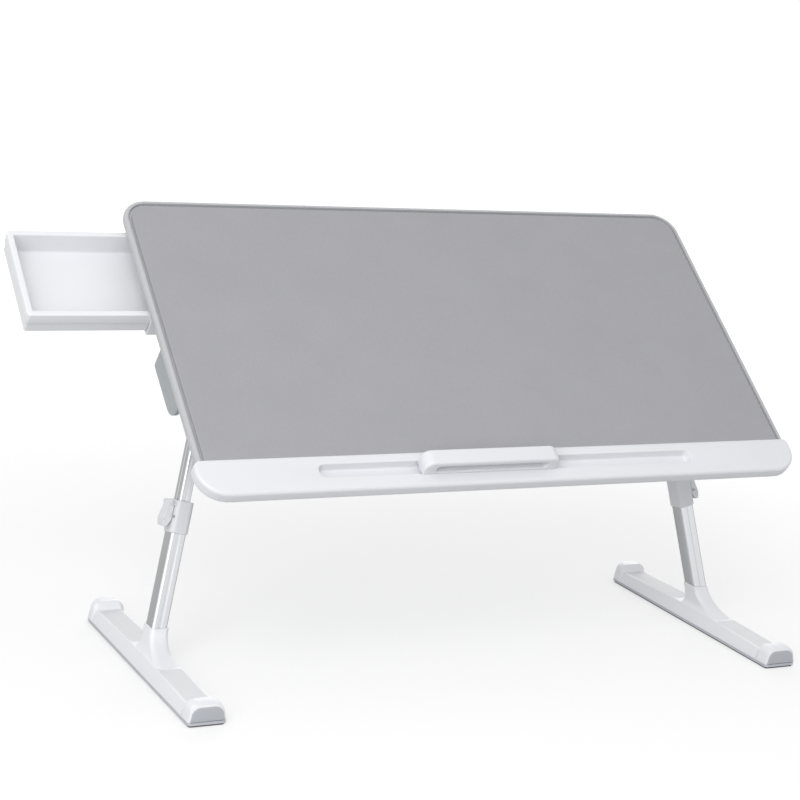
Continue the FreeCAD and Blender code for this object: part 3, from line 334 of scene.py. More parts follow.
def weighted(tree, start, *terms):
    """The start plus each value times its weight."""
    total = start
    for value, weight in terms:
        total = calc(tree, "ADD", total, calc(tree, "MULTIPLY", value, weight))
    return total


def varied(tree, start, reach, *values):
    """The start plus reach times what each value has above one half."""
    return weighted(tree, start, *((calc(tree, "SUBTRACT", value, 0.5), reach) for value in values))


def dimmed(tree, colour, gain):
    """A colour times a gain."""
    scaled = tree.nodes.new("ShaderNodeVectorMath")
    scaled.operation = "SCALE"
    tree.links.new(colour, scaled.inputs[0])
    tree.links.new(gain, scaled.inputs["Scale"])
    return scaled.outputs[0]


def bumped(tree, height, depth):
    """The normal of a surface raised by height times depth, in metres."""
    bump = tree.nodes.new("ShaderNodeBump")
    tree.links.new(height, bump.inputs["Height"])
    tree.links.new(depth, bump.inputs["Distance"])
    return bump.outputs["Normal"]


leather_grain, given = node_group(
    "leather_grain", Colour=(0.5, 0.5, 0.5, 1), Pebble=900.0, Depth=0.0002, Tone=0.1, Roughness=0.5,
)
where = object_place(leather_grain)
pebbles = leather_grain.nodes.new("ShaderNodeTexVoronoi")
pebbles.feature = "SMOOTH_F1"
leather_grain.links.new(where, pebbles.inputs["Vector"])
leather_grain.links.new(given["Pebble"], pebbles.inputs["Scale"])
creases = pebbles.outputs["Distance"]
patches = noise(leather_grain, where, scale=22.0)
fine = noise(leather_grain, where, scale=2600.0)
relief = weighted(leather_grain, 0.0, (creases, -0.8), (fine, 0.3))
tone = weighted(leather_grain, 0.6, (patches, 0.35), (creases, -0.5))
give_back(
    leather_grain,
    Colour=dimmed(leather_grain, given["Colour"], varied(leather_grain, 1.0, given["Tone"], tone)),
    Roughness=weighted(leather_grain, given["Roughness"], (creases, 0.12)),
    Normal=bumped(leather_grain, relief, given["Depth"]),
)


def finished(name, group, values, shading):
    """A material whose colour, roughness and normal come from a group fed with values. Shading sets the rest."""
    finish = bpy.data.materials.new(name)
    finish.use_nodes = True
    tree = finish.node_tree
    shader = tree.nodes["Principled BSDF"]
    effect = tree.nodes.new("ShaderNodeGroup")
    effect.name = "effect"
    effect.node_tree = group
    for label, value in values.items():
        effect.inputs[label].default_value = (*value, 1) if isinstance(value, tuple) else value
    tree.links.new(effect.outputs["Colour"], shader.inputs["Base Color"])
    tree.links.new(effect.outputs["Roughness"], shader.inputs["Roughness"])
    tree.links.new(effect.outputs["Normal"], shader.inputs["Normal"])
    for label, value in shading.items():
        shader.inputs[label].default_value = value
    return finish


leather = finished(
    "leather_sheet", leather_grain,
    {"Colour": (0.355, 0.355, 0.375), "Pebble": 1100.0, "Depth": 0.00016, "Tone": 0.22, "Roughness": 0.52},
    {"Specular IOR Level": 0.35},
)
sheet_low, sheet_high = desk.extent("panel_cover")
cover_corner, cover_near_corner, cover_roll, cover_margin = 18.0, 0.3, 0.8, 2.5
cover_radii = (cover_corner, cover_corner, cover_near_corner, cover_near_corner)
cover_profile = np.vstack([
    [(0, sheet_low[2])], arc((cover_roll, -cover_roll), cover_roll, 180, 90), [(cover_margin, 0)],
])
cover_rings = [
    at_level(rounded(sheet_low[:2], sheet_high[:2], cover_radii, inset), height)
    for inset, height in cover_profile
]
piece("top_sheet", [skin(desk.place(cover_rings))], "desktop", leather, ["panel_cover"])

# Board and rim: the board is laminated fibreboard, seen from below. The moulded rim holds its sides and back,
# with a rounded outside, a narrow land, and a step under the sheet's edge that makes the dark groove.
moulded_skin, given = node_group(
    "moulded_skin", Colour=(0.8, 0.8, 0.8, 1), Grain=1500.0, Depth=0.00003, Tone=0.04, Roughness=0.45,
)
where = object_place(moulded_skin)
cloudy = noise(moulded_skin, where, scale=14.0, detail=3.0)
sparks = noise(moulded_skin, where, scale=given["Grain"], detail=3.0, rough=0.6)
rubbed = noise(moulded_skin, where, scale=90.0, detail=4.0, rough=0.65)
give_back(
    moulded_skin,
    Colour=dimmed(moulded_skin, given["Colour"], varied(moulded_skin, 1.0, given["Tone"], cloudy)),
    Roughness=varied(moulded_skin, given["Roughness"], 0.22, rubbed),
    Normal=bumped(moulded_skin, sparks, given["Depth"]),
)


def moulded(name, colour, grain, depth, tone, roughness, specular):
    """A moulded plastic: its grain in waves a metre and that grain's depth in metres, and its tone's reach."""
    values = {"Colour": colour, "Grain": grain, "Depth": depth, "Tone": tone, "Roughness": roughness}
    return finished(name, moulded_skin, values, {"Specular IOR Level": specular})


rim_finish = moulded(
    "rim_plastic", colour=(0.485, 0.49, 0.505), grain=1400.0, depth=0.00006, tone=0.06, roughness=0.42,
    specular=0.5,
)
board_finish = moulded(
    "board_laminate", colour=(0.62, 0.63, 0.65), grain=700.0, depth=0.00002, tone=0.05, roughness=0.6,
    specular=0.3,
)
frame["nodes"]["board_core"].data.materials.clear()
frame["nodes"]["board_core"].data.materials.append(board_finish)

rim_low, rim_high = desk.extent("edge_rim")
rim_half, rim_back, rim_floor = rim_high[0], rim_high[1], rim_low[2]
rim_corner, rim_top_round, rim_under_round, rim_land, rim_width = 25.0, 3.0, 7.5, 4.0, 9.0
land_round, seat_edge, sheet_seat = 0.4, 7.3, sheet_low[2]
groove_outside, groove_inside, groove_floor = 4.2, 6.9, -3.2
rim_profile = np.vstack([
    [(groove_outside, groove_floor), (rim_land, -land_round)],
    arc((rim_land - land_round, -land_round), land_round, 0, 90, 3),
    arc((rim_top_round, -rim_top_round), rim_top_round, 90, 180, 8),
    arc((rim_under_round, rim_floor + rim_under_round), rim_under_round, 180, 270, 10),
    [(rim_width, rim_floor), (rim_width, sheet_seat), (seat_edge, sheet_seat), (groove_inside, groove_floor)],
])


def rim_path(inset, steps=16):
    """The rim's line drawn in by inset: up the left side, a quarter turn at each back corner, down the right."""
    half, back, radius = rim_half - inset, rim_back - inset, rim_corner - inset
    left = arc((radius - half, back - radius), radius, 180, 90, steps)
    right = arc((half - radius, back - radius), radius, 90, 0, steps)
    return np.vstack([[(-half, 0)], left, right, [(half, 0)]])


rim_rings = np.stack([at_level(rim_path(inset), height) for inset, height in rim_profile], 1)
piece("panel_rim", [skin(desk.place(rim_rings))], "desktop", rim_finish, ["edge_rim"])

# Front ledge: one wide white moulding along the near edge, keyed into the board. Its corners are round, a
# shallow channel runs along it, and a fine bead marks the joint with the sheet.
white_plastic = moulded(
    "white_plastic", colour=(0.8, 0.81, 0.835), grain=1600.0, depth=0.00002, tone=0.03, roughness=0.4,
    specular=0.5,
)
ledge_plastic = moulded(
    "ledge_plastic", colour=(0.745, 0.755, 0.785), grain=1600.0, depth=0.00002, tone=0.04, roughness=0.4,
    specular=0.5,
)
ledge_low, ledge_high = desk.extent("front_ledge")
ledge_half, ledge_front, ledge_floor = ledge_high[0], ledge_low[1], ledge_low[2]
ledge_top, ledge_round, ledge_corner, ledge_end_round = 0.8, 3.2, 27.0, 6.0
ledge_radii = (ledge_end_round, ledge_end_round, ledge_corner, ledge_corner)
ledge_profile = np.vstack([
    arc((ledge_round, ledge_floor + ledge_round), ledge_round, 270, 180, 7),
    arc((ledge_round, ledge_top - ledge_round), ledge_round, 180, 90, 7),
])
ledge_rings = [
    at_level(rounded((-ledge_half, ledge_front), (ledge_half, inset), ledge_radii, inset), height)
    for inset, height in ledge_profile
]
channel_low, channel_high = (-193.9, -22.0), (185.1, -8.5)
channel_corner, channel_floor, channel_lip, channel_fillet = 6.0, -6.0, 0.7, 2.0
channel_draft = math.tan(math.radians(18.0))
fillet_inset = (ledge_top - channel_lip - channel_floor - channel_fillet) * channel_draft
channel_profile = np.vstack([
    arc((-channel_lip, ledge_top - channel_lip), channel_lip, 90, 0, 5),
    arc((fillet_inset + channel_fillet, channel_floor + channel_fillet), channel_fillet, 180, 270, 6),
])
channel_rings = [
    at_level(rounded(channel_low, channel_high, channel_corner, inset), height)
    for inset, height in channel_profile
]
bead_half, bead_width, bead_height, bead_sink = rim_half - rim_width, 1.6, 0.5, 0.2
bead_angle = np.radians(np.linspace(0, 180, 9))
bead_section = np.column_stack([
    bead_width / 2 * (np.cos(bead_angle) - 1),
    ledge_top - bead_sink + (bead_height + bead_sink) * np.sin(bead_angle),
])
bead_rings = [np.column_stack([np.full(len(bead_section), x), bead_section]) for x in (-bead_half, bead_half)]
ledge_shells = [skin(desk.place(ledge_rings + channel_rings)), skin(desk.place(bead_rings))]
piece("ledge_bar", ledge_shells, "desktop", ledge_plastic, ["front_ledge"])

# Laptop stopper: a white bridge-shaped bar that slides along the channel on its tongue. Its ends and edges are
# well rounded, and the gap under the bar is for a fingertip.
stopper_low, stopper_high = desk.extent("laptop_stopper")
stopper_face, stopper_rear = -23.25, -7.25
stopper_floor, stopper_corner, stopper_foot_corner, stopper_round = 1.1, 9.0, 0.3, 2.5
stopper_radii = (stopper_corner, stopper_corner, stopper_foot_corner, stopper_foot_corner)
window_margin, window_floor, window_top = 12, 2.7, 10.8
window_corner, window_lip = 3.5, 0.5


def standing(ring, depth):
    """A flat ring stood up at one depth: its second measure becomes its height."""
    return np.column_stack([ring[:, 0], np.full(len(ring), depth), ring[:, 1]])


def stopper_ring(inset, depth):
    """The bar's outline seen from the front, drawn in at its top and ends, at one depth."""
    low, high = (stopper_low[0], stopper_floor - inset), (stopper_high[0], stopper_high[2])
    return standing(rounded(low, high, stopper_radii, inset), depth)


def window_ring(inset, depth):
    """The finger gap's outline at one depth."""
    low, high = (stopper_low[0] + window_margin, window_floor), (stopper_high[0] - window_margin, window_top)
    return standing(rounded(low, high, window_corner, inset), depth)


front_edge = arc((stopper_round, stopper_face + stopper_round), stopper_round, 270, 180, 7)
rear_edge = arc((stopper_round, stopper_rear - stopper_round), stopper_round, 180, 90, 7)
front_lip = arc((-window_lip, stopper_face + window_lip), window_lip, 0, -90, 4)
rear_lip = arc((-window_lip, stopper_rear - window_lip), window_lip, 90, 0, 4)
stopper_rings = [window_ring(*step) for step in front_lip]
stopper_rings += [stopper_ring(*step) for step in np.vstack([front_edge, rear_edge])]
stopper_rings += [window_ring(*step) for step in rear_lip]
tongue_low, tongue_high = (stopper_low[0], -21.4), (stopper_high[0], -9.1)
tongue_corner, tongue_root, tongue_depth = 4.8, 0.3, 6.2
tongue_top = stopper_floor + tongue_root
tongue_rings = [
    at_level(rounded(tongue_low, tongue_high, tongue_corner, drop * channel_draft), tongue_top - drop)
    for drop in (0.0, tongue_root, tongue_depth)
]
stopper_shells = [skin(desk.place(stopper_rings), closed=True), skin(desk.place(tongue_rings))]
piece("stopper_bar", stopper_shells, "stopper", ledge_plastic, ["laptop_stopper"])

# Drawer: a white moulded tray with a thicker band round its rim and a fine groove under the band. Its housing
# is a channel that is screwed up under the board with a flange on each side.
drawer_low, drawer_high = desk.extent("drawer_tray")
tray_floor, tray_top = drawer_low[2], drawer_high[2]
tray_corner, tray_outside, tray_inside_top, tray_inside_foot, tray_thickness = 3.5, 1.5, 5.5, 5.8, 2.0
tray_foot_round, tray_lip_round, band_round = 2.0, 0.8, 0.4
band_foot = tray_top - 11.0
line_inset, line_shoulder, line_foot = 2.4, band_foot - 1.4, band_foot - 1.7
tray_profile = np.vstack([
    arc((tray_outside + tray_foot_round, tray_floor + tray_foot_round), tray_foot_round, 270, 180, 5),
    [(tray_outside, line_foot), (line_inset, line_shoulder), (line_inset, band_foot)],
    arc((band_round, band_foot + band_round), band_round, 270, 180, 3),
    arc((tray_lip_round, tray_top - tray_lip_round), tray_lip_round, 180, 90, 4),
    arc((tray_inside_top - tray_lip_round, tray_top - tray_lip_round), tray_lip_round, 90, 0, 4),
    arc((tray_inside_foot + tray_foot_round, tray_floor + tray_thickness + tray_foot_round),
        tray_foot_round, 180, 270, 5),
])
tray_rings = [
    at_level(rounded(drawer_low[:2], drawer_high[:2], tray_corner, inset), height)
    for inset, height in tray_profile
]
tray_shell = skin(desk.place(tray_rings))
piece("drawer_tray_shell", [tray_shell], "drawer", white_plastic, ["drawer_tray"])


def eased(node, width, body, finish, segments=2):
    """A copy of a CAD node whose hard edges are eased by a narrow rounding.

    Its loose triangles are merged and joined to flat faces again before the rounding.
    """
    merge_metres, flat_angle, hard_angle = 2e-6, math.radians(1.0), math.radians(35.0)
    form = bmesh.new()
    form.from_mesh(frame["nodes"][node].data)
    bmesh.ops.remove_doubles(form, verts=form.verts, dist=merge_metres)
    bmesh.ops.dissolve_limit(form, angle_limit=flat_angle, verts=form.verts, edges=form.edges)
    name = node + "_eased"
    thing = shown(name, bpy.data.meshes.new(name), form, body, finish, [node])
    rounding = thing.modifiers.new("eased_edges", "BEVEL")
    rounding.width = width / mm_in_metre
    rounding.segments = segments
    rounding.limit_method = "ANGLE"
    rounding.angle_limit = hard_angle
    rounding.harden_normals = True


eased("drawer_housing", 0.5, "desktop", white_plastic)

# Hinge bracket: a glass-filled nylon plate screwed up under the board, with ears for the fold pin and small
# lugs for the grey release paddle. Each pin is a plain steel rivet.
sides = {"left": -1, "right": 1}
hinge_plastic = moulded(
    "hinge_plastic", colour=(0.5, 0.52, 0.545), grain=900.0, depth=0.00006, tone=0.08, roughness=0.5,
    specular=0.45,
)
drawn_metal, given = node_group(
    "drawn_metal", Colour=(0.8, 0.8, 0.8, 1), Place=(0, 0, 0), Depth=0.00001, Tone=0.08, Roughness=0.3,
)
drawn_out = (1.0, 1.0, 0.012)
stretched = drawn_metal.nodes.new("ShaderNodeVectorMath")
stretched.operation = "MULTIPLY"
stretched.inputs[1].default_value = drawn_out
drawn_metal.links.new(given["Place"], stretched.inputs[0])
lines = noise(drawn_metal, stretched.outputs[0], scale=2200.0, detail=4.0, rough=0.6)
bloom = noise(drawn_metal, given["Place"], scale=30.0, detail=3.0)
give_back(
    drawn_metal,
    Colour=dimmed(drawn_metal, given["Colour"], varied(drawn_metal, 1.0, given["Tone"], lines)),
    Roughness=varied(drawn_metal, given["Roughness"], 0.15, bloom, lines),
    Normal=bumped(drawn_metal, lines, given["Depth"]),
)


def metal(name, colour, depth, tone, roughness, aside, along):
    """A metal finish whose drawn lines run along one direction, which is square to the one aside."""
    values = {"Colour": colour, "Depth": depth, "Tone": tone, "Roughness": roughness}
    finish = finished(name, drawn_metal, values, {"Metallic": 1.0})
    tree = finish.node_tree
    turned = tree.nodes.new("ShaderNodeMapping")
    turned.vector_type = "POINT"
    axes = np.array([np.cross(aside, along), aside, along])
    turned.inputs["Rotation"].default_value = Matrix(axes.tolist()).to_euler()
    tree.links.new(object_place(tree), turned.inputs["Vector"])
    tree.links.new(turned.outputs[0], tree.nodes["effect"].inputs["Place"])
    return finish


bright_steel = metal(
    "bright_steel", colour=(0.58, 0.58, 0.59), depth=0.000004, tone=0.1, roughness=0.3,
    aside=-desk.axes[2], along=desk.axes[1],
)
grey_plastic = moulded(
    "grey_plastic", colour=(0.37, 0.395, 0.415), grain=1200.0, depth=0.00004, tone=0.06, roughness=0.45,
    specular=0.45,
)
for side in sides:
    eased(f"hinge_bracket_{side}", 0.6, "desktop", hinge_plastic)
    eased(f"fold_pin_{side}", 0.5, "desktop", bright_steel)
    eased(f"paddle_pin_{side}", 0.2, "desktop", bright_steel)
    eased(f"release_paddle_{side}", 0.9, f"paddle_{side}", grey_plastic, segments=3)

# Knuckle and tilt bolt: the knuckle turns on the fold pin and is a fork for the leg's head. An M6 bolt, a lock
# nut and two friction washers clamp the head in it and hold the panel's slope.
washer_steel = metal(
    "washer_steel", colour=(0.42, 0.42, 0.43), depth=0.000004, tone=0.12, roughness=0.36,
    aside=desk.axes[2], along=desk.axes[0],
)
for side in sides:
    body = f"fold_{side}"
    eased(f"fold_knuckle_{side}", 0.6, body, hinge_plastic)
    eased(f"tilt_bolt_{side}", 0.5, body, bright_steel)
    eased(f"tilt_nut_{side}", 0.3, body, bright_steel)
    eased(f"tilt_washers_{side}", 0.12, body, washer_steel)
    eased(f"leg_head_{side}", 0.5, f"leg_{side}", hinge_plastic)
    eased(f"tube_glide_{side}", 0.3, f"leg_{side}", grey_plastic)

# Legs: two drawn and anodised aluminium tubes with rounded edges and a shallow groove down the front and back,
# on the inner one down its sides too. The inner tube is pushed on the leg head's plug and slides in the outer
# one. Each leg splays and leans, so it is measured outwards, back and up along itself from its tilt bolt.
legs = {}
for side, way in sides.items():
    up_leg = -np.array(joints[f"height_{side}_slide"]["axis"])
    back = np.array(joints[f"lever_{side}_cam"]["axis"])
    outwards = np.cross(back, up_leg) * way
    legs[side] = Directions(joints[f"tilt_{side}_hinge"]["pos_m"], [outwards, back, up_leg])


def tube_ring(half_width, half_depth, radius, dip, side_dip, height, steps=6):
    """A rounded rectangle whose sides dip by one cosine wave over the groove, at one height."""
    groove_half_width = 2.4
    ring = rounded((-half_width, -half_depth), (half_width, half_depth), radius, 0.0, steps)
    corners = ring.reshape(4, steps + 1, 2)
    x = np.linspace(groove_half_width, -groove_half_width, 11)
    wave = (1 + np.cos(np.pi * x / groove_half_width)) / 2
    rear = np.column_stack([x, half_depth - dip * wave])
    flank = np.column_stack([side_dip * wave - half_width, x])
    outline = [corners[0], rear, corners[1], flank, corners[2], -rear, corners[3], -flank]
    return at_level(np.vstack(outline), height)


def tube(size, wall, radius, side_dip, low, high):
    """A tube between two heights: its outside, its inside, and a small chamfer at both mouths."""
    ease, groove_dip = 0.25, 0.55
    outside = [(ease, low), (0.0, low + ease), (0.0, high - ease), (ease, high)]
    inside = [(wall, high), (wall, low)]
    rings = []
    for inset, height in outside + inside:
        dips = (groove_dip, side_dip) if inset < wall else (0.0, 0.0)
        rings.append(tube_ring(size[0] / 2 - inset, size[1] / 2 - inset, radius - inset, *dips, height))
    return skin(rings, closed=True)


def aslant_painted_shade(finish, start, end, least):
    """Painted shade on drawn metal: full colour face on, falling to the least share where seen aslant, like a
    darker reflection.
    """
    tree = finish.node_tree
    facing = tree.nodes.new("ShaderNodeLayerWeight").outputs["Facing"]
    painted_shade_gain = s_curve(tree, facing, start, end, low=1.0, high=least)
    colour = dimmed(tree, tree.nodes["effect"].outputs["Colour"], painted_shade_gain)
    tree.links.new(colour, tree.nodes["Principled BSDF"].inputs["Base Color"])


tubes = (
    {"name": "inner_tube", "body": "leg", "wall": 1.1, "radius": 2.0, "side_dip": 0.6},
    {"name": "outer_tube", "body": "shank", "wall": 1.3, "radius": 2.5, "side_dip": 0.0},
)
for side, leg in legs.items():
    anodised = metal(
        f"tube_aluminium_{side}", colour=(0.70, 0.715, 0.735), depth=0.000012, tone=0.12, roughness=0.3,
        aside=leg.axes[1], along=leg.axes[2],
    )
    # The tubes' side facets get painted shade where they are seen aslant.
    aslant_painted_shade(anodised, start=0.28, end=0.52, least=0.5)
    for kind in tubes:
        node = f"{kind['name']}_{side}"
        low, high = leg.extent(node)
        middle = (low + high) / 2 * [1, 1, 0]
        points, faces = tube(high - low, kind["wall"], kind["radius"], kind["side_dip"], low[2], high[2])
        shell = leg.place(points + middle), faces
        piece(f"{node}_drawn", [shell], f"{kind['body']}_{side}", anodised, [node])

# Height clamp: a split collar that grips the outer tube's end, and the cam lever that closes it, a curved wing
# on its outer side. Both are pale moulded plastic, with a steel pin between and a small screw head in front.
collar_plastic = moulded(
    "collar_plastic", colour=(0.72, 0.73, 0.755), grain=1500.0, depth=0.00003, tone=0.04, roughness=0.42,
    specular=0.5,
)
clamp_head_out, clamp_head_steps = 6.4, 24
clamp_head_profile = ((1.2, -1.0), (1.2, 0.15), (1.0, 0.35), (0.55, 0.35), (0.45, -0.3))
for side, leg in legs.items():
    eased(f"clamp_collar_{side}", 0.3, f"shank_{side}", collar_plastic)
    eased(f"clamp_lever_{side}", 0.9, f"lever_{side}", collar_plastic, segments=3)
    eased(f"lever_pin_{side}", 0.15, f"shank_{side}", bright_steel)
    collar_low, collar_high = leg.extent(f"clamp_collar_{side}")
    centre = (clamp_head_out, (collar_low[2] + collar_high[2]) / 2)
    turns = np.radians(np.linspace(0, 360, clamp_head_steps, endpoint=False))
    head = [standing(about(centre, radius, turns), collar_low[1] - rise) for radius, rise in clamp_head_profile]
    piece(f"clamp_screw_{side}", [skin(leg.place(head))], f"shank_{side}", washer_steel)

# Foot: a long white moulded bar on a grey base and a rubber sole, whose neck holds the outer tube's end. Its top
# is hollowed up to raised ends and carries two thin darker plates with a coarser grain, whose darker colour is
# painted shade, and a grey plate closes its front end. It is measured outwards, back and up from the floor below
# its middle.
feet = {}
for side, way in sides.items():
    foot_low, foot_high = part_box(f"foot_shell_{side}")
    foot_middle = ((foot_low[0] + foot_high[0]) / 2, (foot_low[1] + foot_high[1]) / 2, 0)
    feet[side] = Directions(foot_middle, [across * way, (0, 1, 0), (0, 0, 1)])
foot_half_length, foot_half_width = 140.0, 17.25
foot_floor, foot_shoulder, foot_floor_round = 4.0, 5.0, 0.4
side_lean, end_lean = 0.59, 0.26
hollow_corner, end_corner = 1.2, 8.0
front_lip_height, back_lip_height = 20.2, 21.2
front_slope, back_slope = (-125.0, -121.0), (119.0, 123.0)
front_round, back_round = 3.0, 13.0
front_drop, front_drop_length, back_drop, back_drop_length = 4.0, 10.0, 5.0, 7.0


def smooth_step(value, start, end):
    """0 before start, 1 after end, and an S-curve 3t^2 - 2t^3 between them."""
    t = np.clip((value - start) / (end - start), 0, 1)
    return t * t * (3 - 2 * t)


def fallen(distance, drop, length):
    """How far a quarter ellipse lies below its top at a distance from its tip: drop (1 - sqrt(1 - t^2)), where t
    falls from 1 at the tip to 0 at its length."""
    return drop * (1 - np.sqrt(1 - np.clip(1 - distance / length, 0, 1) ** 2))


def hollow_height(station):
    """The hollowed top's height: it falls evenly from the middle of the bar to both ends."""
    middle_height, fall, reach = 16.5, 2.5, 118.0
    return middle_height - fall * np.clip(abs(station) / reach, 0, 1)


def foot_section(station, inset=0.0, steps=8):
    """The bar's outline across one station, from its floor's left corner over the top to the right.

    Its sides lean in from the shoulder and end in quarter circles at the top. They lean less at the ends, where
    the plan narrows to quarter circles and the top falls away as a quarter ellipse.
    """
    least_half_top = 0.3
    ahead, behind = station + foot_half_length, foot_half_length - station
    in_hollow = smooth_step(station, *front_slope) * (1 - smooth_step(station, *back_slope))
    lip = front_lip_height if station < 0 else back_lip_height
    top = lip + (hollow_height(station) - lip) * in_hollow
    top -= fallen(ahead, front_drop, front_drop_length) + fallen(behind, back_drop, back_drop_length) + inset
    tilt = end_lean + (side_lean - end_lean) * in_hollow
    half = foot_half_width - fallen(ahead, front_round, front_round) - fallen(behind, back_round, back_round)
    half -= inset
    corner = end_corner + (hollow_corner - end_corner) * in_hollow
    bend_start = half - tilt * (top - corner - foot_shoulder)
    corner = min(corner, bend_start - least_half_top)
    angle = np.linspace(0, np.pi / 2, steps + 1)
    bend = np.column_stack([bend_start - corner * (1 - np.cos(angle)), top - corner * (1 - np.sin(angle))])
    floor, shoulder = foot_floor + inset, foot_shoulder + inset
    edge = [(half - foot_floor_round, floor), (half, floor + foot_floor_round), (half, shoulder)]
    outer = np.vstack([edge, bend])
    return np.vstack([outer * [-1, 1], outer[::-1]])


# The bar's stations stand close together where its outline changes fast.
foot_stations = np.unique(np.concatenate([
    -foot_half_length + front_drop_length * (1 - np.cos(np.linspace(0, np.pi / 2, 14))),
    np.linspace(-128.0, -126.0, 3), np.linspace(*front_slope, 9), np.linspace(-119.0, 117.0, 42),
    np.linspace(*back_slope, 9), np.linspace(124.0, 126.0, 3),
    foot_half_length - back_round * (1 - np.cos(np.linspace(0, np.pi / 2, 15)[1:])),
]))


def end_ring(inset, depth):
    """The bar's outline close to its front end, drawn in by inset, at a depth behind that end."""
    close_by = 0.3
    return standing(foot_section(close_by - foot_half_length, inset), depth - foot_half_length)


neck_top, neck_half_width, neck_half_depth = 39.0, 8.7, 11.2
neck_foot, neck_edge_round = 9.0, 0.6
line_start = 20.0
splay = math.radians(12.3)
lean = math.radians(10.0)


def leg_line(height):
    """How far the leg's leaning line is outwards and back at one height.

    It crosses the foot's middle at line_start. With the rise from there it goes back by the lean's tangent, and
    inwards by the splay's tangent over the lean's cosine.
    """
    rise = height - line_start
    return -rise * math.tan(splay) / math.cos(lean), rise * math.tan(lean)


def neck_ring(height, inset=0.0, steps=10):
    """The neck's outline at one height, about the leg's leaning line.

    Its front and back spread with a power of the way down from its top. Its sides follow the wider of the bar's
    sides and the tube's, with a soft change between the two.
    """
    spread_foot, spread_power, most_spread = 16.0, 2.6, 1.1
    front_spread, back_spread = 30.8, 9.8
    blend, tuck = 1.5, 0.15
    top_corner, corner_growth, growth_end = 4.0, 5.0, 0.8
    middle, setback = leg_line(height)
    middle = min(middle, 0.0)
    spread = min(((neck_top - height) / (neck_top - spread_foot)) ** spread_power, most_spread)
    bar_half_width = foot_half_width - side_lean * max(height - foot_shoulder, 0)
    meeting = bar_half_width - neck_half_width
    half = neck_half_width + (meeting + math.sqrt(meeting**2 + blend)) / 2 - tuck
    front = setback - neck_half_depth - front_spread * spread
    rear = setback + neck_half_depth + back_spread * spread
    corner = top_corner + corner_growth * min(spread, growth_end)
    return at_level(rounded((middle - half, front), (middle + half, rear), corner, inset, steps), height)


def bore_ring(height, steps=10):
    """The tube's socket in the neck at one height, about the leg's leaning line."""
    half_width, half_depth, corner = 7.3, 9.8, 2.7
    middle, setback = leg_line(height)
    low, high = (middle - half_width, setback - half_depth), (middle + half_width, setback + half_depth)
    return at_level(rounded(low, high, corner, 0.0, steps), height)


def painted_shade_plate(front, rear):
    """A thin darker plate of painted shade on the hollowed top between two stations, with an eased upper edge.
    """
    half_width, corner = 10.3, 3.0
    rings = []
    for inset, lift in ((0.0, -0.4), (0.0, 0.1), (0.15, 0.25)):
        ring = rounded((-half_width, front), (half_width, rear), corner, inset)
        rings.append(np.column_stack([ring, hollow_height(ring[:, 1]) + lift]))
    return rings


foot_base_finish = moulded(
    "base_plastic", colour=(0.5, 0.52, 0.56), grain=1300.0, depth=0.00003, tone=0.05, roughness=0.45,
    specular=0.5,
)
end_plate_finish = moulded(
    "end_plate_plastic", colour=(0.45, 0.465, 0.5), grain=1300.0, depth=0.00003, tone=0.05, roughness=0.45,
    specular=0.5,
)
# A darker copy of the white plastic with a coarser grain: its darkness is painted shade on the feet's tops.
painted_shade_finish = moulded(
    "painted_shade_plastic", colour=(0.71, 0.72, 0.74), grain=800.0, depth=0.00008, tone=0.05, roughness=0.55,
    specular=0.4,
)
sole_finish = moulded(
    "sole_rubber", colour=(0.1, 0.1, 0.105), grain=2000.0, depth=0.00008, tone=0.15, roughness=0.8,
    specular=0.3,
)
bar_start = 1.3 - foot_half_length
bar = [end_ring(inset=1.2, depth=1.5), end_ring(inset=0.25, depth=1.0)]
bar += [standing(foot_section(station), station) for station in foot_stations if station > bar_start]
neck = [neck_ring(height) for height in np.linspace(neck_foot, neck_top - neck_edge_round, 28)]
neck += [neck_ring(neck_top, neck_edge_round), neck_ring(neck_top, 2 * neck_edge_round)]
neck += [bore_ring(height) for height in (neck_top, 34.0, 28.0, 22.0, 17.0)]
end_plate_profile = ((0.5, 1.6), (0.5, 0.5), (0.7, 0.2), (1.1, 0.05), (1.6, 0.0))
end_plate = [end_ring(inset, depth) for inset, depth in end_plate_profile]
painted_shade_plates = [painted_shade_plate(-119.5, -47.0), painted_shade_plate(27.0, 117.5)]
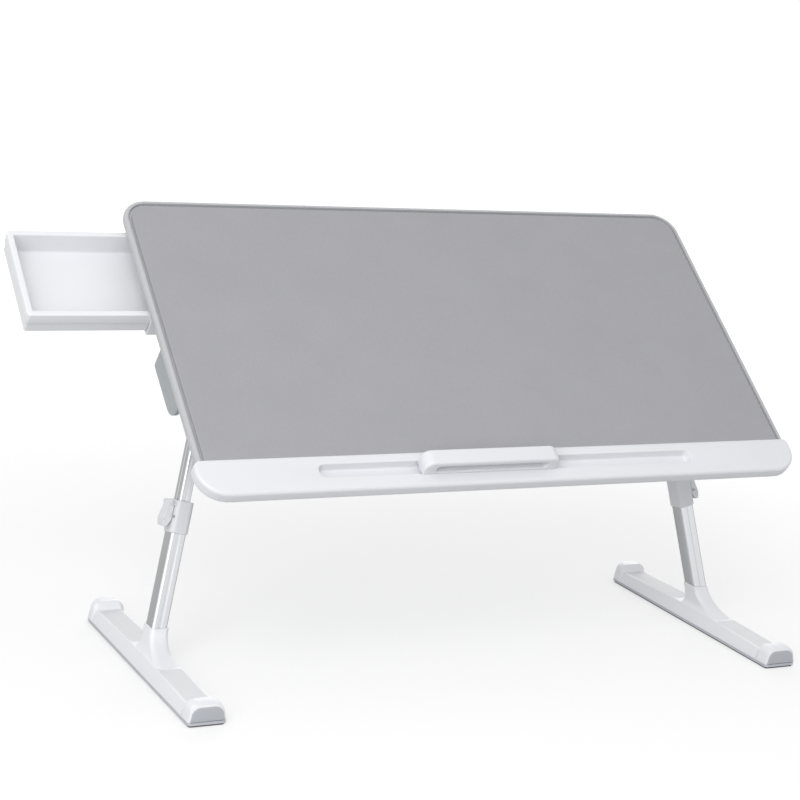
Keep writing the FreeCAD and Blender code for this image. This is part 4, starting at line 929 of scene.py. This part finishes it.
for side, foot in feet.items():
    body = f"shank_{side}"
    foot_shells = [skin(foot.place(bar)), skin(foot.place(neck))]
    piece(f"foot_bar_{side}", foot_shells, body, white_plastic, [f"foot_shell_{side}"])
    piece(
        f"foot_end_plate_{side}", [skin(foot.place(end_plate))], body, end_plate_finish,
        [f"foot_end_cap_{side}"],
    )
    painted_shade_shells = [skin(foot.place(panel)) for panel in painted_shade_plates]
    piece(f"foot_painted_shade_plates_{side}", painted_shade_shells, body, painted_shade_finish)
    eased(f"foot_base_{side}", 0.4, body, foot_base_finish)
    eased(f"rubber_sole_{side}", 0.3, body, sole_finish)

# Screws: zinc pan heads with a cross recess, driven up into the board. They hold the bracket plates and the
# flanges of the drawer's housing. Ends of the CAD screws that lie close together belong to one screw.
head_radius, head_rise, head_rim, screw_radius = 3.6, 1.8, 0.5, 1.6
same_screw, same_level = 9.0, 0.01


def screw(spot, seat, tip, steps=48):
    """A turned screw, head down: each ring is a circle, but the recess is a cross cut into the head.

    The cross's edge is as far out as an arm's end or its side allows at each angle.
    """
    arm_reach, arm_half_width, least_sine = 2.0, 0.42, 0.1
    recess_depth, recess_taper, dome_inset = 1.0, 0.8, 1.1
    angle = np.linspace(0, 2 * np.pi, steps, endpoint=False) + np.pi / steps
    fold = np.abs((angle + np.pi / 4) % (np.pi / 2) - np.pi / 4)
    arm = np.minimum(arm_reach / np.cos(fold), arm_half_width / np.maximum(np.sin(fold), least_sine))
    profile = [(screw_radius, tip), (screw_radius, seat), (head_radius, seat), (head_radius, seat - head_rim)]
    for share in np.linspace(0.2, 1.0, 5):
        drop = head_rim + (head_rise - head_rim) * math.sin(share * math.pi / 2)
        profile.append((head_radius - dome_inset * share**2, seat - drop))
    profile += [(arm, seat - head_rise), (arm * recess_taper, seat - head_rise + recess_depth)]
    return [at_level(about(spot, radius, angle), height) for radius, height in profile]


for node in ("housing_screws", "bracket_screws"):
    points = desk.steps(node)
    head_end, tip = points[:, 2].min(), points[:, 2].max()
    ends = points[points[:, 2] < head_end + same_level][:, :2]
    shells = []
    while len(ends):
        near = np.abs(ends - ends[0]).max(1) < same_screw
        spot = (ends[near].min(0) + ends[near].max(0)) / 2
        shells.append(skin(desk.place(screw(spot, head_end + head_rise, tip))))
        ends = ends[~near]
    piece(f"{node}_turned", shells, "desktop", bright_steel, [node])
